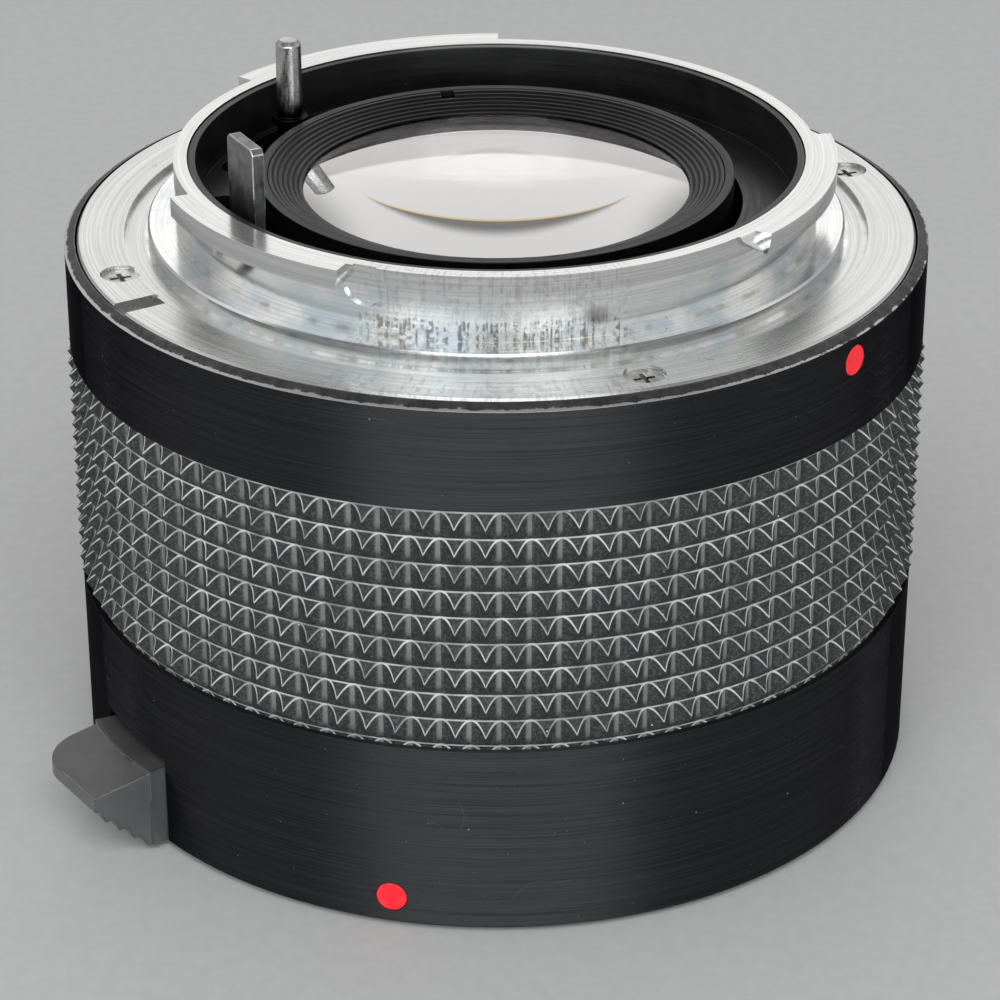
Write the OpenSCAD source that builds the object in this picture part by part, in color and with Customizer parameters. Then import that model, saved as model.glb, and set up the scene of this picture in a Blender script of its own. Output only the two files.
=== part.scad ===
// Camera teleconverter: a short barrel that carries a negative lens group.
// A lens locks into the bayonet at the front, and the bayonet at the rear locks into a camera.
// The optical axis is Z, the front flange lies at z = 0, and the rear mount points up.

/* [Barrel] */
// Distance from the front flange to the rear flange
flange_gap = 40.6; // [39.6:0.1:46]
// Wall of the barrel at its main bore
barrel_wall = 2.2; // [1.9:0.1:2.4]
// Height by which the front mount stands out of the barrel
mount_proud = 0.3; // [0.1:0.05:0.5]
// Depth of the rear rim below the rear flange
rim_drop = 0.1; // [0.05:0.05:0.4]
// Width of the chamfer on the rear rim
rim_chamfer_w = 0.7; // [0.2:0.05:0.8]
// Height of the chamfer on the rear rim
rim_chamfer_h = 0.4; // [0.2:0.05:0.8]
// Chamfer on the front edge of the barrel
front_chamfer = 0.25; // [0.1:0.05:0.4]
// Thickness of the inner lips that the mounts are screwed to
lip_t = 2.5; // [2:0.1:3]
// Gap round the flange of each mount
seat_clear = 0.15; // [0.1:0.05:0.3]
// Width of the barrel's rear rim round the flange
rim_w = 0.77; // [0.75:0.01:1.2]
// Width of the barrel's front edge round the flange
front_edge_w = 1.1; // [0.9:0.05:1.3]

/* [Grip] */
// Height of the lower edge of the rubber grip
grip_z = 14.55; // [14:0.05:16]
// Rows of pyramids
grip_rows = 9; // [5:1:9]
// Pyramids round the barrel
grip_columns = 95; // [60:1:110]
// Height of one row of pyramids
grip_pitch = 1.97; // [1.6:0.01:2.1]
// Plain border above and below the pyramids
grip_border = 0.3; // [0.1:0.05:0.6]
// Height by which the tips stand out of the barrel
grip_proud = 0.25; // [0.1:0.05:0.5]
// Height of a pyramid
grip_relief = 0.75; // [0.4:0.05:1]
// Width of the plain grooves between the columns
grip_groove_w = 0.4; // [0.2:0.05:0.6]
// Thickness of the rubber under the pyramids
grip_base_t = 0.45; // [0.3:0.05:0.6]

/* [Rear bayonet] */
// Inner radius of the bayonet tube
throat_r = 22.03; // [21.8:0.01:22.3]
// Wall of the bayonet tube
bayonet_wall = 0.97; // [0.9:0.01:1.1]
// Height of the bayonet tube over the rear flange
bayonet_h = 5.5; // [5:0.1:6]
// Reach of the lugs beyond the bayonet tube
lug_reach = 1.3; // [1:0.05:1.6]
// Thickness of the lugs
lug_t = 1.4; // [1:0.1:1.8]
// Width of the foot ring that centres the mount
foot_w = 2; // [1.9:0.01:2.2]
// Height of the foot ring over the rear flange
foot_h = 0.8; // [0.5:0.05:1]
// Width of the rear flange's face
rear_face_w = 3.38; // [3.2:0.01:3.6]
// Thickness of the rear flange
rear_flange_t = 1.8; // [1.6:0.1:2.2]
// Width of the groove between the foot ring and the flange face
groove_w = 1.7; // [1.6:0.1:2.1]
// Depth of that groove
groove_depth = 0.4; // [0.3:0.05:0.8]
// Width of the notch that the lock pin of a camera drops into
notch_w = 1.75; // [1.65:0.05:2]
// Reach of that notch into the groove
notch_reach = 0.1; // [0.1:0.1:0.9]
// Depth of that notch
notch_depth = 1.3; // [1:0.1:1.5]
// Radius of the round spot that is milled beside the first lug
spot_r = 1.55; // [1.2:0.05:1.6]
// Depth of that spot in the bayonet tube
spot_depth = 0.25; // [0.15:0.05:0.4]
// Radius of the slanting cut at the start of the second lug
scoop_r = 1.15; // [0.9:0.05:1.3]

/* [Front bayonet] */
// Clearance between a foot ring and the counterbore that takes it
register_clear = 0.06; // [0.05:0.01:0.2]
// Depth of the counterbore beyond the height of the foot ring
register_spare = 0.1; // [0.05:0.05:0.3]
// Clearance of a lens's bayonet tube inside the front lugs
bayonet_clear = 0.15; // [0.05:0.01:0.25]
// Clearance of a lens's lugs in the gaps of the front bayonet
gap_clear = 0.3; // [0.1:0.05:0.4]
// Angle added at each end of a gap
gap_margin = 1; // [0.5:0.1:2]
// Thickness of the front flange
front_flange_t = 1.9; // [1.7:0.1:2.1]
// Wall of the hub behind the front flange
hub_wall = 1.4; // [1.2:0.05:1.5]
// Height of the back of the front lugs over the front flange
front_lug_back = 3.9; // [3.6:0.1:4]
// Turn from putting a lens in to its lock
lock_turn = 65; // [55:1:70]
// Thickness of the leaf springs
leaf_t = 0.25; // [0.2:0.01:0.35]
// Bow of the leaf springs
leaf_bow = 0.35; // [0.2:0.05:0.5]

/* [Screws] */
// Distance of the rear mount screws from the groove
rear_screw_inset = 1.2; // [1.1:0.05:1.4]
// Radius of a mount screw's head
screw_head_r = 1.4; // [1.2:0.05:1.5]
// Radius of a mount screw's thread
screw_r = 0.75; // [0.6:0.05:0.8]
// Length of a mount screw under its face
screw_l = 3.9; // [3:0.1:4]

/* [Rear shield and cell] */
// Depth of the shield's floor below the top of the bayonet
floor_depth = 3.6; // [3:0.1:4]
// Wall of the light shields
shield_wall = 0.55; // [0.4:0.05:0.7]
// Thickness of the light shields' floors
shield_floor = 0.8; // [0.6:0.1:1]
// Gap round the cell of the rear element
cell_gap = 0.6; // [0.3:0.05:0.8]
// Room for the couplings between the bayonet tube and the cell
coupling_room = 4.98; // [4.9:0.02:5.4]
// Depth of the cell's rim below the top of the bayonet
cell_depth = 1.55; // [1.2:0.05:2]
// Width of the cell's flat rim
cell_rim_w = 0.73; // [0.6:0.01:0.8]
// Ridges of the ring inside the cell
ridges = 6; // [3:1:8]
// Wall of the cell round the rear element
cell_wall = 2.15; // [2:0.05:2.3]
// Width of the rear element's edge under the ridged ring
rear_cover_w = 1; // [0.7:0.05:1.3]

/* [Lens tube] */
// Step from the cell down to the stretch of the tube where the rings turn
tube_step = 1.55; // [1.4:0.05:1.7]
// Step from there down to the front stretch of the tube
nose_step = 2.4; // [2:0.1:2.6]
// Wall of the front stretch of the tube
nose_wall = 1.87; // [1.5:0.01:2]
// Wall of the tube round the cemented rear pair
pair_wall = 2.47; // [2.2:0.01:2.6]
// Step from the front elements up to the middle one
middle_step = 0.5; // [0.3:0.05:0.7]
// Depth of the first element in the tube
nose_depth = 3.4; // [3:0.1:4]
// Clearance of a part in the bore that holds it
seat_gap = 0.03; // [0.01:0.01:0.06]

/* [Glass] */
// Edge thickness of the first element
lens_1_t = 1.6; // [1.4:0.1:2]
// Air between the first and the second element, at the edge
front_air = 2.1; // [1.5:0.1:3]
// Edge thickness of the second element
lens_2_t = 4.05; // [3.6:0.05:4.5]
// Edge thickness of the third element
lens_3_t = 1; // [0.8:0.1:1.5]
// Wall of the tube between the front group and the middle element
stop_wall = 3.5; // [3:0.1:4.5]
// Edge thickness of the middle element
lens_4_t = 4.5; // [4:0.1:5]
// Space between the middle element and the rear pair
middle_air = 1.5; // [1.2:0.1:2]
// Edge thickness of the fifth element
lens_5_t = 5.9; // [5.5:0.1:6.5]
// Edge thickness of the sixth element
lens_6_t = 0.8; // [0.6:0.1:1.2]
// Space behind the rear pair, at the edge
rear_air = 1.8; // [1.6:0.1:2]
// Lift of the rear element over the neck of the tube
rear_lift = 1.62; // [1.5:0.02:1.8]
// Edge thickness of the rear element
lens_7_t = 1.48; // [1.3:0.02:1.6]

/* [Couplings] */
// Distance of the stop-down pin from the inside of the bayonet tube
pin_inset = 2.53; // [2.4:0.01:2.6]
// Radius of the stop-down pin
pin_r = 0.95; // [0.8:0.05:1]
// Angle of the stop-down pin
pin_angle = 155.75; // [150:0.25:160]
// Height of the pin over the rear flange
pin_h = 9.4; // [9:0.1:10]
// Distance of the aperture lever from the inside of the bayonet tube
lever_inset = 2.5; // [2.25:0.01:2.6]
// Width of the aperture lever
lever_w = 4.2; // [3.5:0.1:4.4]
// Width of the aperture fork
strip_w = 3.5; // [3:0.1:4]
// Thickness of the levers and forks
strip_t = 0.9; // [0.7:0.05:1]
// Angle of the aperture lever
lever_angle = 222; // [214:0.25:224]
// Height of the aperture lever over the rear flange
lever_h = 9.7; // [9:0.1:10]
// Angle that each coupling turns
coupling_turn = 20; // [15:1:22]
// Thickness of the coupling rings
ring_t = 1.5; // [1.2:0.1:1.8]
// Running clearance of the coupling rings on the tube
ring_clear = 0.05; // [0.02:0.01:0.1]
// Play of the coupling rings along the axis
ring_play = 0.1; // [0.05:0.05:0.2]
// Width of the stop-down fork
fork_w = 4.8; // [4.6:0.1:5.2]
// Reach of the forks in front of the front shield
fork_reach = 3.7; // [3.65:0.05:3.9]
// Height of the notch in the forks
fork_notch_h = 3.2; // [2.5:0.1:3.2]
// Clearance of a lever in a fork and round the coupling slots
slot_clear = 0.25; // [0.2:0.05:0.3]

/* [Release] */
// Angle of the lock pin and the release lever
lock_angle = 225; // [222:0.5:226]
// Distance of the lock pin from the hub
lock_inset = 2; // [1.9:0.05:2.1]
// Radius of the lock pin
lock_pin_r = 0.8; // [0.7:0.05:0.8]
// Running clearance of the lock pin
lock_clear = 0.05; // [0.02:0.01:0.1]
// Travel of the lock pin from flush to locked
lock_out = 0.9; // [0.6:0.05:0.9]
// Further travel when the lever is pressed home
lock_in = 0.6; // [0.4:0.05:0.7]
// Width of the release lever
release_w = 8.4; // [8:0.1:11]
// Shift of the release lever to one side of the lock pin
release_shift = 0.4; // [-0.5:0.05:0.5]
// Sideways offset of the lever's window from the locking pin
window_shift = 0.35; // [-0.5:0.05:0.5]
// Height of the lower edge of the release lever
release_z = 0.5; // [0.4:0.05:0.8]
// Height of the release lever's plate
release_h = 6.2; // [5:0.1:6.4]
// Height by which the plate stands out of the barrel
release_proud = 1.2; // [0.8:0.05:1.5]
// Reach of the finger tab beyond the plate
tab_reach = 4.3; // [3:0.1:5]
// Step from the top of the plate down to the finger tab
tab_step = 0.2; // [0.1:0.05:1.2]
// Fall of the tab's top face towards its tip
tab_fall = 0.85; // [0.3:0.05:1.2]
// Height of the tip of the tab
tab_tip_h = 1.1; // [0.8:0.05:1.4]
// Steps under the finger tab
tab_steps = 4; // [3:1:5]
// Radius of the tab's round corner
tab_corner_r = 2.6; // [1:0.1:3.5]
// Slant of the tab's outer edge
tab_slant = 0.35; // [0:0.05:0.6]
// Clearance of the release lever in its window
window_clear = 0.25; // [0.2:0.05:0.4]
// Radius of the wire of the release spring
release_wire_r = 0.18; // [0.14:0.01:0.2]
// Turns of the release spring
release_turns = 5; // [3:0.5:6]

/* [Index dots] */
// Radius of the index dots
dot_r = 1.1; // [0.8:0.05:1.2]
// Depth of the index dots
dot_depth = 0.5; // [0.3:0.05:0.6]
// Height of the front dot
front_dot_z = 2.4; // [2:0.1:3]
// Depth of the rear dot below the rear flange
rear_dot_drop = 2.2; // [2:0.1:3]

/* [Hidden] */
$fn = 96;
arc_fn = 360;
small_fn = 28;
eps = 0.01;

// Colours
black_metal = "#1d1e20";
matt_black = "#121314";
rubber_grey = "#2c2d2f";
plated = "#c8cbcf";
steel = "#8d9196";
brass = "#a8874a";
glass_tint = "#86a9bd";
red_paint = "#c5161d";

// Angles of the two mounts: the lugs stand at the same angles from their own index dot
front_dot_angle = 270;
rear_dot_angle = front_dot_angle + lock_turn;
lugs = [[-119.3, -77], [-6.2, 45.6], [128.3, 181.4]];
rear_screw_angles = [34, 124, 214, 304];
front_screw_angles = [89, 179, 269, 359];
bulkhead_screw_angles = [90, 210, 330];
shield_screw_angles = [105, 285];

// Allowances: a small chamfer, a gap between stacked parts, room for a part to pass, and a stop gap
edge = 0.15;
stack_gap = 0.02;
pass_gap = 0.3;
stop_gap = 0.1;

// Radii from the bayonet tube outwards
bayonet_r = throat_r + bayonet_wall;
lug_r = bayonet_r + lug_reach;
foot_r = bayonet_r + foot_w;
groove_r = foot_r + groove_w;
rear_screw_ring = groove_r + rear_screw_inset;
notch_in_r = groove_r - notch_reach;
rear_flange_r = groove_r + rear_face_w;
barrel_r = rear_flange_r + seat_clear + rim_w;
front_flange_r = barrel_r - front_edge_w - seat_clear;
gap_r = lug_r + gap_clear;
hub_r = gap_r + hub_wall;
front_screw_ring = hub_r + screw_head_r;
lock_ring_r = hub_r + lock_inset;

// Radii from the bayonet tube inwards
lever_ring_r = throat_r - lever_inset;
pin_ring_r = throat_r - pin_inset;
cell_r = throat_r - coupling_room;
rear_glass_r = cell_r - cell_wall;
rear_clear_r = rear_glass_r - rear_cover_w;
tube_r = cell_r - tube_step;
tube_nose_r = tube_r - nose_step;
pair_glass_r = tube_r - pair_wall - seat_gap;
front_glass_r = tube_nose_r - nose_wall - seat_gap;
middle_glass_r = front_glass_r + middle_step;

// Barrel
bore_r = barrel_r - barrel_wall;
front_seat_r = front_flange_r + seat_clear;
rear_seat_r = rear_flange_r + seat_clear;
rim_z = flange_gap - rim_drop;
rear_seat_z = flange_gap - rear_flange_t;
rear_lip_z = rear_seat_z - lip_t;
front_lip_z = front_flange_t + lip_t;
front_lip_r = hub_r + seat_clear;
rear_lip_w = 2;
rear_lip_r = throat_r + rear_lip_w;
grip_h = grip_rows * grip_pitch + 2 * grip_border;
grip_tip_r = barrel_r + grip_proud;
grip_valley_r = grip_tip_r - grip_relief;
grip_inner_r = grip_valley_r - grip_base_t;
grip_seat_r = (grip_inner_r - seat_gap) * cos(180 / grip_columns);

// Bayonets
bayonet_top = flange_gap + bayonet_h;
lug_root = 0.2;
spot_turn = 3.3;
spot_drop = 1.3;
scoop_turn = 1.8;
scoop_out = 0.66;
scoop_drop = 0.67;
scoop_tilt = 54;
ramp_drop = 0.25;
ramp_slope = 36;
register_r = foot_r + register_clear;
register_depth = foot_h + register_spare;
front_lug_r = bayonet_r + bayonet_clear;
head_h = screw_head_r - screw_r;
head_sink = 0.3;
leaf_span = 34;
leaf_over = 2;
leaf_w = 1.2;
leaf_mid_r = (front_lug_r + gap_r) / 2 + 0.05;
leaf_rivet_r = 0.4;
leaf_rivet_h = 0.9;

// Shields
floor_z = bayonet_top - floor_depth;
shield_fit = 0.05;
shield_r = throat_r - shield_fit;
shield_top = bayonet_top - stop_gap;
shield_post_r = 1.2;
shield_screw_r = 0.6;
shield_screw_head_r = 1.05;
shield_screw_l = 3;
shield_screw_ring = (cell_r + cell_gap + shield_r - shield_wall) / 2;

// Bulkhead and tube
bulkhead_t = 1.5;
bulkhead_r = hub_r + stop_gap;
bulkhead_z = rear_lip_z - bulkhead_t;
bulkhead_screw_ring = (rear_lip_r + bulkhead_r) / 2;
bulkhead_screw_r = 0.65;
bulkhead_screw_head_r = 1;
rib_t = 1.4;
rib_z = 12;
rib_r = bulkhead_r + pass_gap;
tube_flange_h = 1;
tube_top = rear_lip_z + tube_flange_h;
neck_h = 2.7;
neck_top = tube_top + neck_h;
neck_r = rear_glass_r;

// Height of the crown of a sphere over a rim
function crown(sphere_r, rim_r) = sphere_r - sqrt(sphere_r * sphere_r - rim_r * rim_r);

// Glass, with the heights of each rim. A hollow face keeps a flat rim outside its clear radius.
flat_rim = 0.9;
cement = 0.02;
rear_glass_curve = 60;
pair_curve = 40;
pair_back_curve = 50;
pair_front_curve = 35;
middle_curve = 40;
lens_1_curve = 60;
front_pair_curve = 35;
front_pair_back_curve = 40;
front_pair_front_curve = 60;
front_cover_w = 0.8;
front_lip_in_r = front_glass_r - front_cover_w;
front_ring_in_r = front_lip_in_r - 0.6;
bulge_gap = 0.25;
rear_glass_z = [neck_top + rear_lift, neck_top + rear_lift + lens_7_t];
pair_seat_z = neck_top - rear_air - lens_6_t - lens_5_t;
lens_5_z = [pair_seat_z, pair_seat_z + lens_5_t - cement];
lens_6_z = [pair_seat_z + lens_5_t, pair_seat_z + lens_5_t + lens_6_t];
middle_z = [pair_seat_z - middle_air - lens_4_t, pair_seat_z - middle_air];
front_seat_z = middle_z[0] - stop_wall;
lens_3_z = [front_seat_z - bulge_gap - lens_3_t, front_seat_z - bulge_gap];
lens_2_z = [lens_3_z[0] - lens_2_t, lens_3_z[0] - cement];
lens_1_z = [lens_2_z[0] - front_air - lens_1_t, lens_2_z[0] - front_air];
tube_front_z = lens_1_z[0] - nose_depth;
nose_out = 0.6;
cup_z = tube_front_z + nose_out;

// Coupling stack, from the bulkhead towards the front
nut_t = 1.6;
nut_z = bulkhead_z - nut_t;
nut_w = 1.8;
nut_r = tube_r + nut_w;
stop_ring_z = nut_z - ring_play - ring_t;
ring_spacer_t = 1.5;
ring_spacer_w = 1.1;
ring_spacer_r = tube_r + ring_spacer_w;
ring_spacer_z = stop_ring_z - ring_play - ring_spacer_t;
aperture_ring_z = ring_spacer_z - ring_play - ring_t;
retainer_t = 1;
retainer_z = aperture_ring_z - ring_play - retainer_t;
retainer_w = 1.2;
retainer_split = 2;
retainer_groove = 0.5;
groove_in_r = tube_r - retainer_groove;
coupling_w = 2.5;
coupling_r = tube_r + coupling_w;
arm_edge = 0.55;
arm_r = lever_ring_r + strip_t / 2 + arm_edge;
tenon_h = ring_t / 2 - eps;
fork_tenon_w = 0.9;
fork_tenon_y = (fork_w - fork_tenon_w) / 2 - 0.2;
lever_tenon_w = 2;
fork_z = cup_z - fork_reach;
prong_w = 1.25;
pin_shank_r = 0.6;
pin_collar_w = 0.4;
pin_collar_h = 0.6;
pin_collar_lift = 1;
slot_half = pin_r + slot_clear;
slot_drill = 0.08;
collar_spare = 0.2;

// Return springs: side 0 is the stop-down spring, side 1 the aperture spring
coil_wire_r = 0.2;
coil_gap = 0.6;
coil_r = ring_spacer_r + coil_gap;
coil_offset = 0.45;
coil_over = 1.2;
coil_leg_r = coil_wire_r - 0.03;
coil_leg_in = 0.6;
spring_turn = 300;
function spring_z(side) = ring_spacer_z + ring_spacer_t / 2 + (side == 0 ? coil_offset : -coil_offset);
function spring_anchor_angle(side) = side == 0 ? 20 : 350;
function spring_leg_angle(side) = spring_anchor_angle(side) + (side == 0 ? spring_turn : -spring_turn);

// Release
release_top = release_z + release_h;
release_half = asin(release_w / 2 / barrel_r);
release_turn_off = asin(release_shift / barrel_r);
plate_r = barrel_r + release_proud;
plate_in_r = front_seat_r + 0.08;
block_w = 5;
block_z = front_flange_t + lock_out + 2 * stop_gap;
block_in_r = front_lip_r + pass_gap;
window_top = release_top + lock_in + stop_gap;
lock_pin_low = 0.4;
lock_pin_top = rib_z + rib_t - lock_pin_low;
release_coil_r = lock_pin_r + release_wire_r + 0.27;
spring_well_r = release_coil_r + release_wire_r + pass_gap;
release_stations = 8;
spring_seat_z = rib_z + 0.3;
release_low = release_top + release_wire_r + stack_gap;
release_high = spring_seat_z - release_wire_r - stack_gap;
release_path = [
    for (i = [0 : release_turns * release_stations])
        let (share = i / (release_turns * release_stations))
        [
            release_coil_r * cos(360 * i / release_stations),
            release_coil_r * sin(360 * i / release_stations),
            release_low + share * (release_high - release_low)
        ]
];
release_spring_gap = min([
    for (i = [0 : len(release_path) - 1 - release_stations])
        norm(release_path[i + release_stations] - release_path[i])
]) - 2 * release_wire_r;
echo(release_spring_gap = release_spring_gap);

// Cell
cell_top = bayonet_top - cell_depth;
cell_seat_z = rear_glass_z[0] - eps;
ring_out_r = cell_r - cell_rim_w;

// Places children at an angle round the axis, out at a radius and up at a height
module at(angle, radius = 0, height = 0) {
    rotate([0, 0, angle]) translate([radius, 0, height]) children();
}

// A plain ring
module ring(r_in, r_out, z0, z1) {
    rotate_extrude() translate([r_in, z0]) square([r_out - r_in, z1 - z0]);
}

// A part of a ring between two angles
module sector(r_in, r_out, z0, z1, from, to) {
    rotate([0, 0, from])
        rotate_extrude(angle = to - from) translate([r_in, z0]) square([r_out - r_in, z1 - z0]);
}

// A curved slot whose ends are drilled a little wider than the slot
module curved_slot(r_in, r_out, z0, z1, from, to) {
    drill_r = (r_out - r_in) / 2 + slot_drill;
    sector(r_in, r_out, z0, z1, from, to);
    for (angle = [from, to])
        at(angle, (r_in + r_out) / 2, z0) cylinder(r = drill_r, h = z1 - z0, $fn = small_fn);
}

// The slots that the two couplings move in, through a plate, for parts of the given half widths
module coupling_slots(z0, z1, pin_half, lever_half, spare) {
    pin_margin = asin((pin_half - pin_r + slot_clear) / pin_ring_r);
    lever_margin = asin((lever_half - pin_r + slot_clear) / lever_ring_r);
    r_in = pin_ring_r - slot_half - spare;
    r_out = pin_ring_r + slot_half + spare;
    curved_slot(r_in, r_out, z0 - eps, z1 + eps,
        pin_angle - pin_margin, pin_angle + coupling_turn + pin_margin);
    curved_slot(r_in, r_out, z0 - eps, z1 + eps,
        lever_angle - coupling_turn - lever_margin, lever_angle + lever_margin);
}

// A bar that stands across a radius: thickness along the radius, width round the axis
module strip(radius, width, z0, z1) {
    translate([radius - strip_t / 2, -width / 2, z0]) cube([strip_t, width, z1 - z0]);
}

// A countersunk screw with a cross recess, its face at z = 0 and its point up
module countersunk_screw() {
    recess_w = 0.34;
    recess_l = 1.5;
    recess_depth = 0.55;
    difference() {
        union() {
            cylinder(r1 = screw_head_r, r2 = screw_r, h = head_h, $fn = small_fn);
            cylinder(r = screw_r, h = screw_l, $fn = small_fn);
        }
        for (turn = [0, 90])
            rotate([0, 0, turn]) translate([-recess_l / 2, -recess_w / 2, -eps])
                cube([recess_l, recess_w, recess_depth]);
    }
}

// The hole that such a screw sits in
module countersunk_hole() {
    translate([0, 0, -1]) cylinder(r = screw_head_r + seat_gap, h = 1 + head_sink, $fn = small_fn);
    translate([0, 0, head_sink])
        cylinder(r1 = screw_head_r + seat_gap, r2 = screw_r + seat_gap, h = head_h, $fn = small_fn);
    cylinder(r = screw_r + seat_gap, h = screw_l + 0.3, $fn = small_fn);
}

// A round-headed screw, its head's underside at z = 0 and its thread up
module pan_screw(thread_r, head_r, thread_l) {
    slot_w = 0.3;
    head_t = 0.6;
    difference() {
        union() {
            translate([0, 0, -head_t]) cylinder(r = head_r, h = head_t, $fn = small_fn);
            cylinder(r = thread_r, h = thread_l, $fn = small_fn);
        }
        translate([-head_r, -slot_w / 2, -head_t - eps]) cube([2 * head_r, slot_w, head_t / 2]);
    }
}

// A glass element. A curve above 0 bulges, below 0 is hollow, and 0 is flat.
module element(rim_r, z, lower_curve, upper_curve) {
    clear_r = rim_r - flat_rim;
    low = lower_curve > 0 ? crown(lower_curve, rim_r) : 0;
    high = upper_curve > 0 ? crown(upper_curve, rim_r) : 0;
    color(glass_tint) rotate_extrude() difference() {
        intersection() {
            translate([0, z[0] - low]) square([rim_r, z[1] - z[0] + low + high]);
            if (upper_curve > 0)
                translate([0, z[1] + high - upper_curve]) circle(upper_curve, $fn = arc_fn);
            if (lower_curve > 0)
                translate([0, z[0] - low + lower_curve]) circle(lower_curve, $fn = arc_fn);
        }
        if (upper_curve < 0)
            translate([0, z[1] - crown(-upper_curve, clear_r) - upper_curve])
                circle(-upper_curve, $fn = arc_fn);
        if (lower_curve < 0)
            translate([0, z[0] + crown(-lower_curve, clear_r) + lower_curve])
                circle(-lower_curve, $fn = arc_fn);
    }
}

// A wire tube along a list of points, closed at both ends
function unit(v) = v / norm(v);
function wire_ring(path, i, wire_r, sides) =
    let (tangent = unit(path[min(i + 1, len(path) - 1)] - path[max(i - 1, 0)]))
    let (side = unit(cross(tangent, [0, 0, 1])))
    let (over = cross(side, tangent))
    [
        for (s = [0 : sides - 1])
            path[i] + wire_r * (cos(360 * s / sides) * side + sin(360 * s / sides) * over)
    ];

module wire(path, wire_r, sides = 6) {
    n = len(path);
    points = [for (i = [0 : n - 1]) each wire_ring(path, i, wire_r, sides)];
    skin = [
        for (i = [0 : n - 2]) for (s = [0 : sides - 1])
            let (t = (s + 1) % sides)
            each [
                [i * sides + s, (i + 1) * sides + t, (i + 1) * sides + s],
                [i * sides + s, i * sides + t, (i + 1) * sides + t]
            ]
    ];
    first = [for (s = [1 : sides - 2]) [0, s + 1, s]];
    last = [for (s = [1 : sides - 2]) [(n - 1) * sides, (n - 1) * sides + s, (n - 1) * sides + s + 1]];
    polyhedron(points, concat(skin, first, last));
}

// Barrel with the seats of both mounts, the lips, the rib and the window of the release lever
module barrel() {
    color(black_metal) difference() {
        rotate_extrude() polygon([
            [front_seat_r, mount_proud],
            [barrel_r - front_chamfer, mount_proud],
            [barrel_r, mount_proud + front_chamfer],
            [barrel_r, grip_z],
            [grip_seat_r, grip_z],
            [grip_seat_r, grip_z + grip_h],
            [barrel_r, grip_z + grip_h],
            [barrel_r, rim_z - rim_chamfer_h],
            [barrel_r - rim_chamfer_w, rim_z],
            [rear_seat_r, rim_z],
            [rear_seat_r, rear_seat_z],
            [rear_lip_r, rear_seat_z],
            [rear_lip_r, rear_lip_z],
            [bore_r, rear_lip_z],
            [bore_r, rib_z + rib_t],
            [rib_r, rib_z + rib_t],
            [rib_r, rib_z],
            [bore_r, rib_z],
            [bore_r, front_lip_z],
            [front_lip_r, front_lip_z],
            [front_lip_r, front_flange_t],
            [front_seat_r, front_flange_t]
        ]);
        for (angle = rear_screw_angles)
            at(angle, rear_screw_ring, rear_lip_z - eps)
                cylinder(r = screw_r + seat_gap, h = lip_t + 2 * eps, $fn = small_fn);
        for (angle = front_screw_angles)
            at(angle, front_screw_ring, front_flange_t - eps)
                cylinder(r = screw_r + seat_gap, h = lip_t + 2 * eps, $fn = small_fn);
        for (angle = bulkhead_screw_angles)
            at(angle, bulkhead_screw_ring, rear_lip_z - eps)
                cylinder(r = bulkhead_screw_r + seat_gap, h = lip_t - pass_gap, $fn = small_fn);
        release_window();
        at(front_dot_angle, 0, front_dot_z) dot_hole();
        at(rear_dot_angle, 0, flange_gap - rear_dot_drop) dot_hole();
    }
}

// The window, the gap through the lip, and the well and bore of the lock pin
module release_window() {
    half = release_half + asin(window_clear / barrel_r);
    middle = lock_angle + asin(window_shift / barrel_r);
    sector(front_seat_r, barrel_r + 1, -eps, window_top, middle - half, middle + half);
    at(lock_angle) translate([front_lip_r - 1, -block_w / 2 - window_clear, front_flange_t - eps])
        cube([front_seat_r - front_lip_r + 1.2, block_w + 2 * window_clear, window_top - front_flange_t]);
    at(lock_angle, lock_ring_r, front_flange_t)
        cylinder(r = spring_well_r, h = spring_seat_z - front_flange_t, $fn = small_fn);
    at(lock_angle, lock_ring_r, rib_z - eps)
        cylinder(r = lock_pin_r + lock_clear, h = rib_t + 2 * eps, $fn = small_fn);
}

// Rubber ring of square pyramids in rows and columns
module grip_ring() {
    z_top = grip_z + grip_h;
    rings = concat(
        [[grip_inner_r, grip_z], [grip_valley_r, grip_z]],
        [for (row = [0 : grip_rows]) [grip_valley_r, grip_z + grip_border + row * grip_pitch]],
        [[grip_valley_r, z_top], [grip_inner_r, z_top]]
    );
    count = len(rings);
    sides = 2 * grip_columns;
    step = 360 / grip_columns;
    groove_half = asin(grip_groove_w / 2 / grip_valley_r);
    corners = [
        for (r = rings) for (c = [0 : grip_columns - 1])
            for (angle = [c * step + groove_half, (c + 1) * step - groove_half])
                [r[0] * cos(angle), r[0] * sin(angle), r[1]]
    ];
    tips = [
        for (row = [0 : grip_rows - 1]) for (c = [0 : grip_columns - 1])
            let (angle = (c + 0.5) * step)
            let (height = grip_z + grip_border + (row + 0.5) * grip_pitch)
            [grip_tip_r * cos(angle), grip_tip_r * sin(angle), height]
    ];
    function at_ring(k, j) = (k % count) * sides + j % sides;
    function tip(row, c) = count * sides + row * grip_columns + c;
    function panel(k, j) = [at_ring(k, j), at_ring(k + 1, j), at_ring(k + 1, j + 1), at_ring(k, j + 1)];
    plain = [for (k = [0, 1, count - 3, count - 2, count - 1]) for (j = [0 : sides - 1]) panel(k, j)];
    grooves = [for (k = [2 : count - 4]) for (c = [0 : grip_columns - 1]) panel(k, 2 * c + 1)];
    pyramids = [
        for (row = [0 : grip_rows - 1]) for (c = [0 : grip_columns - 1])
            let (base = panel(row + 2, 2 * c))
            for (i = [0 : 3])
                [base[i], base[(i + 1) % 4], tip(row, c)]
    ];
    color(rubber_grey) polyhedron(concat(corners, tips), concat(plain, grooves, pyramids));
}

module dot_hole() {
    translate([barrel_r - dot_depth, 0, 0]) rotate([0, 90, 0])
        cylinder(r = dot_r + seat_gap, h = dot_depth + 1, $fn = small_fn);
}

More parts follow.
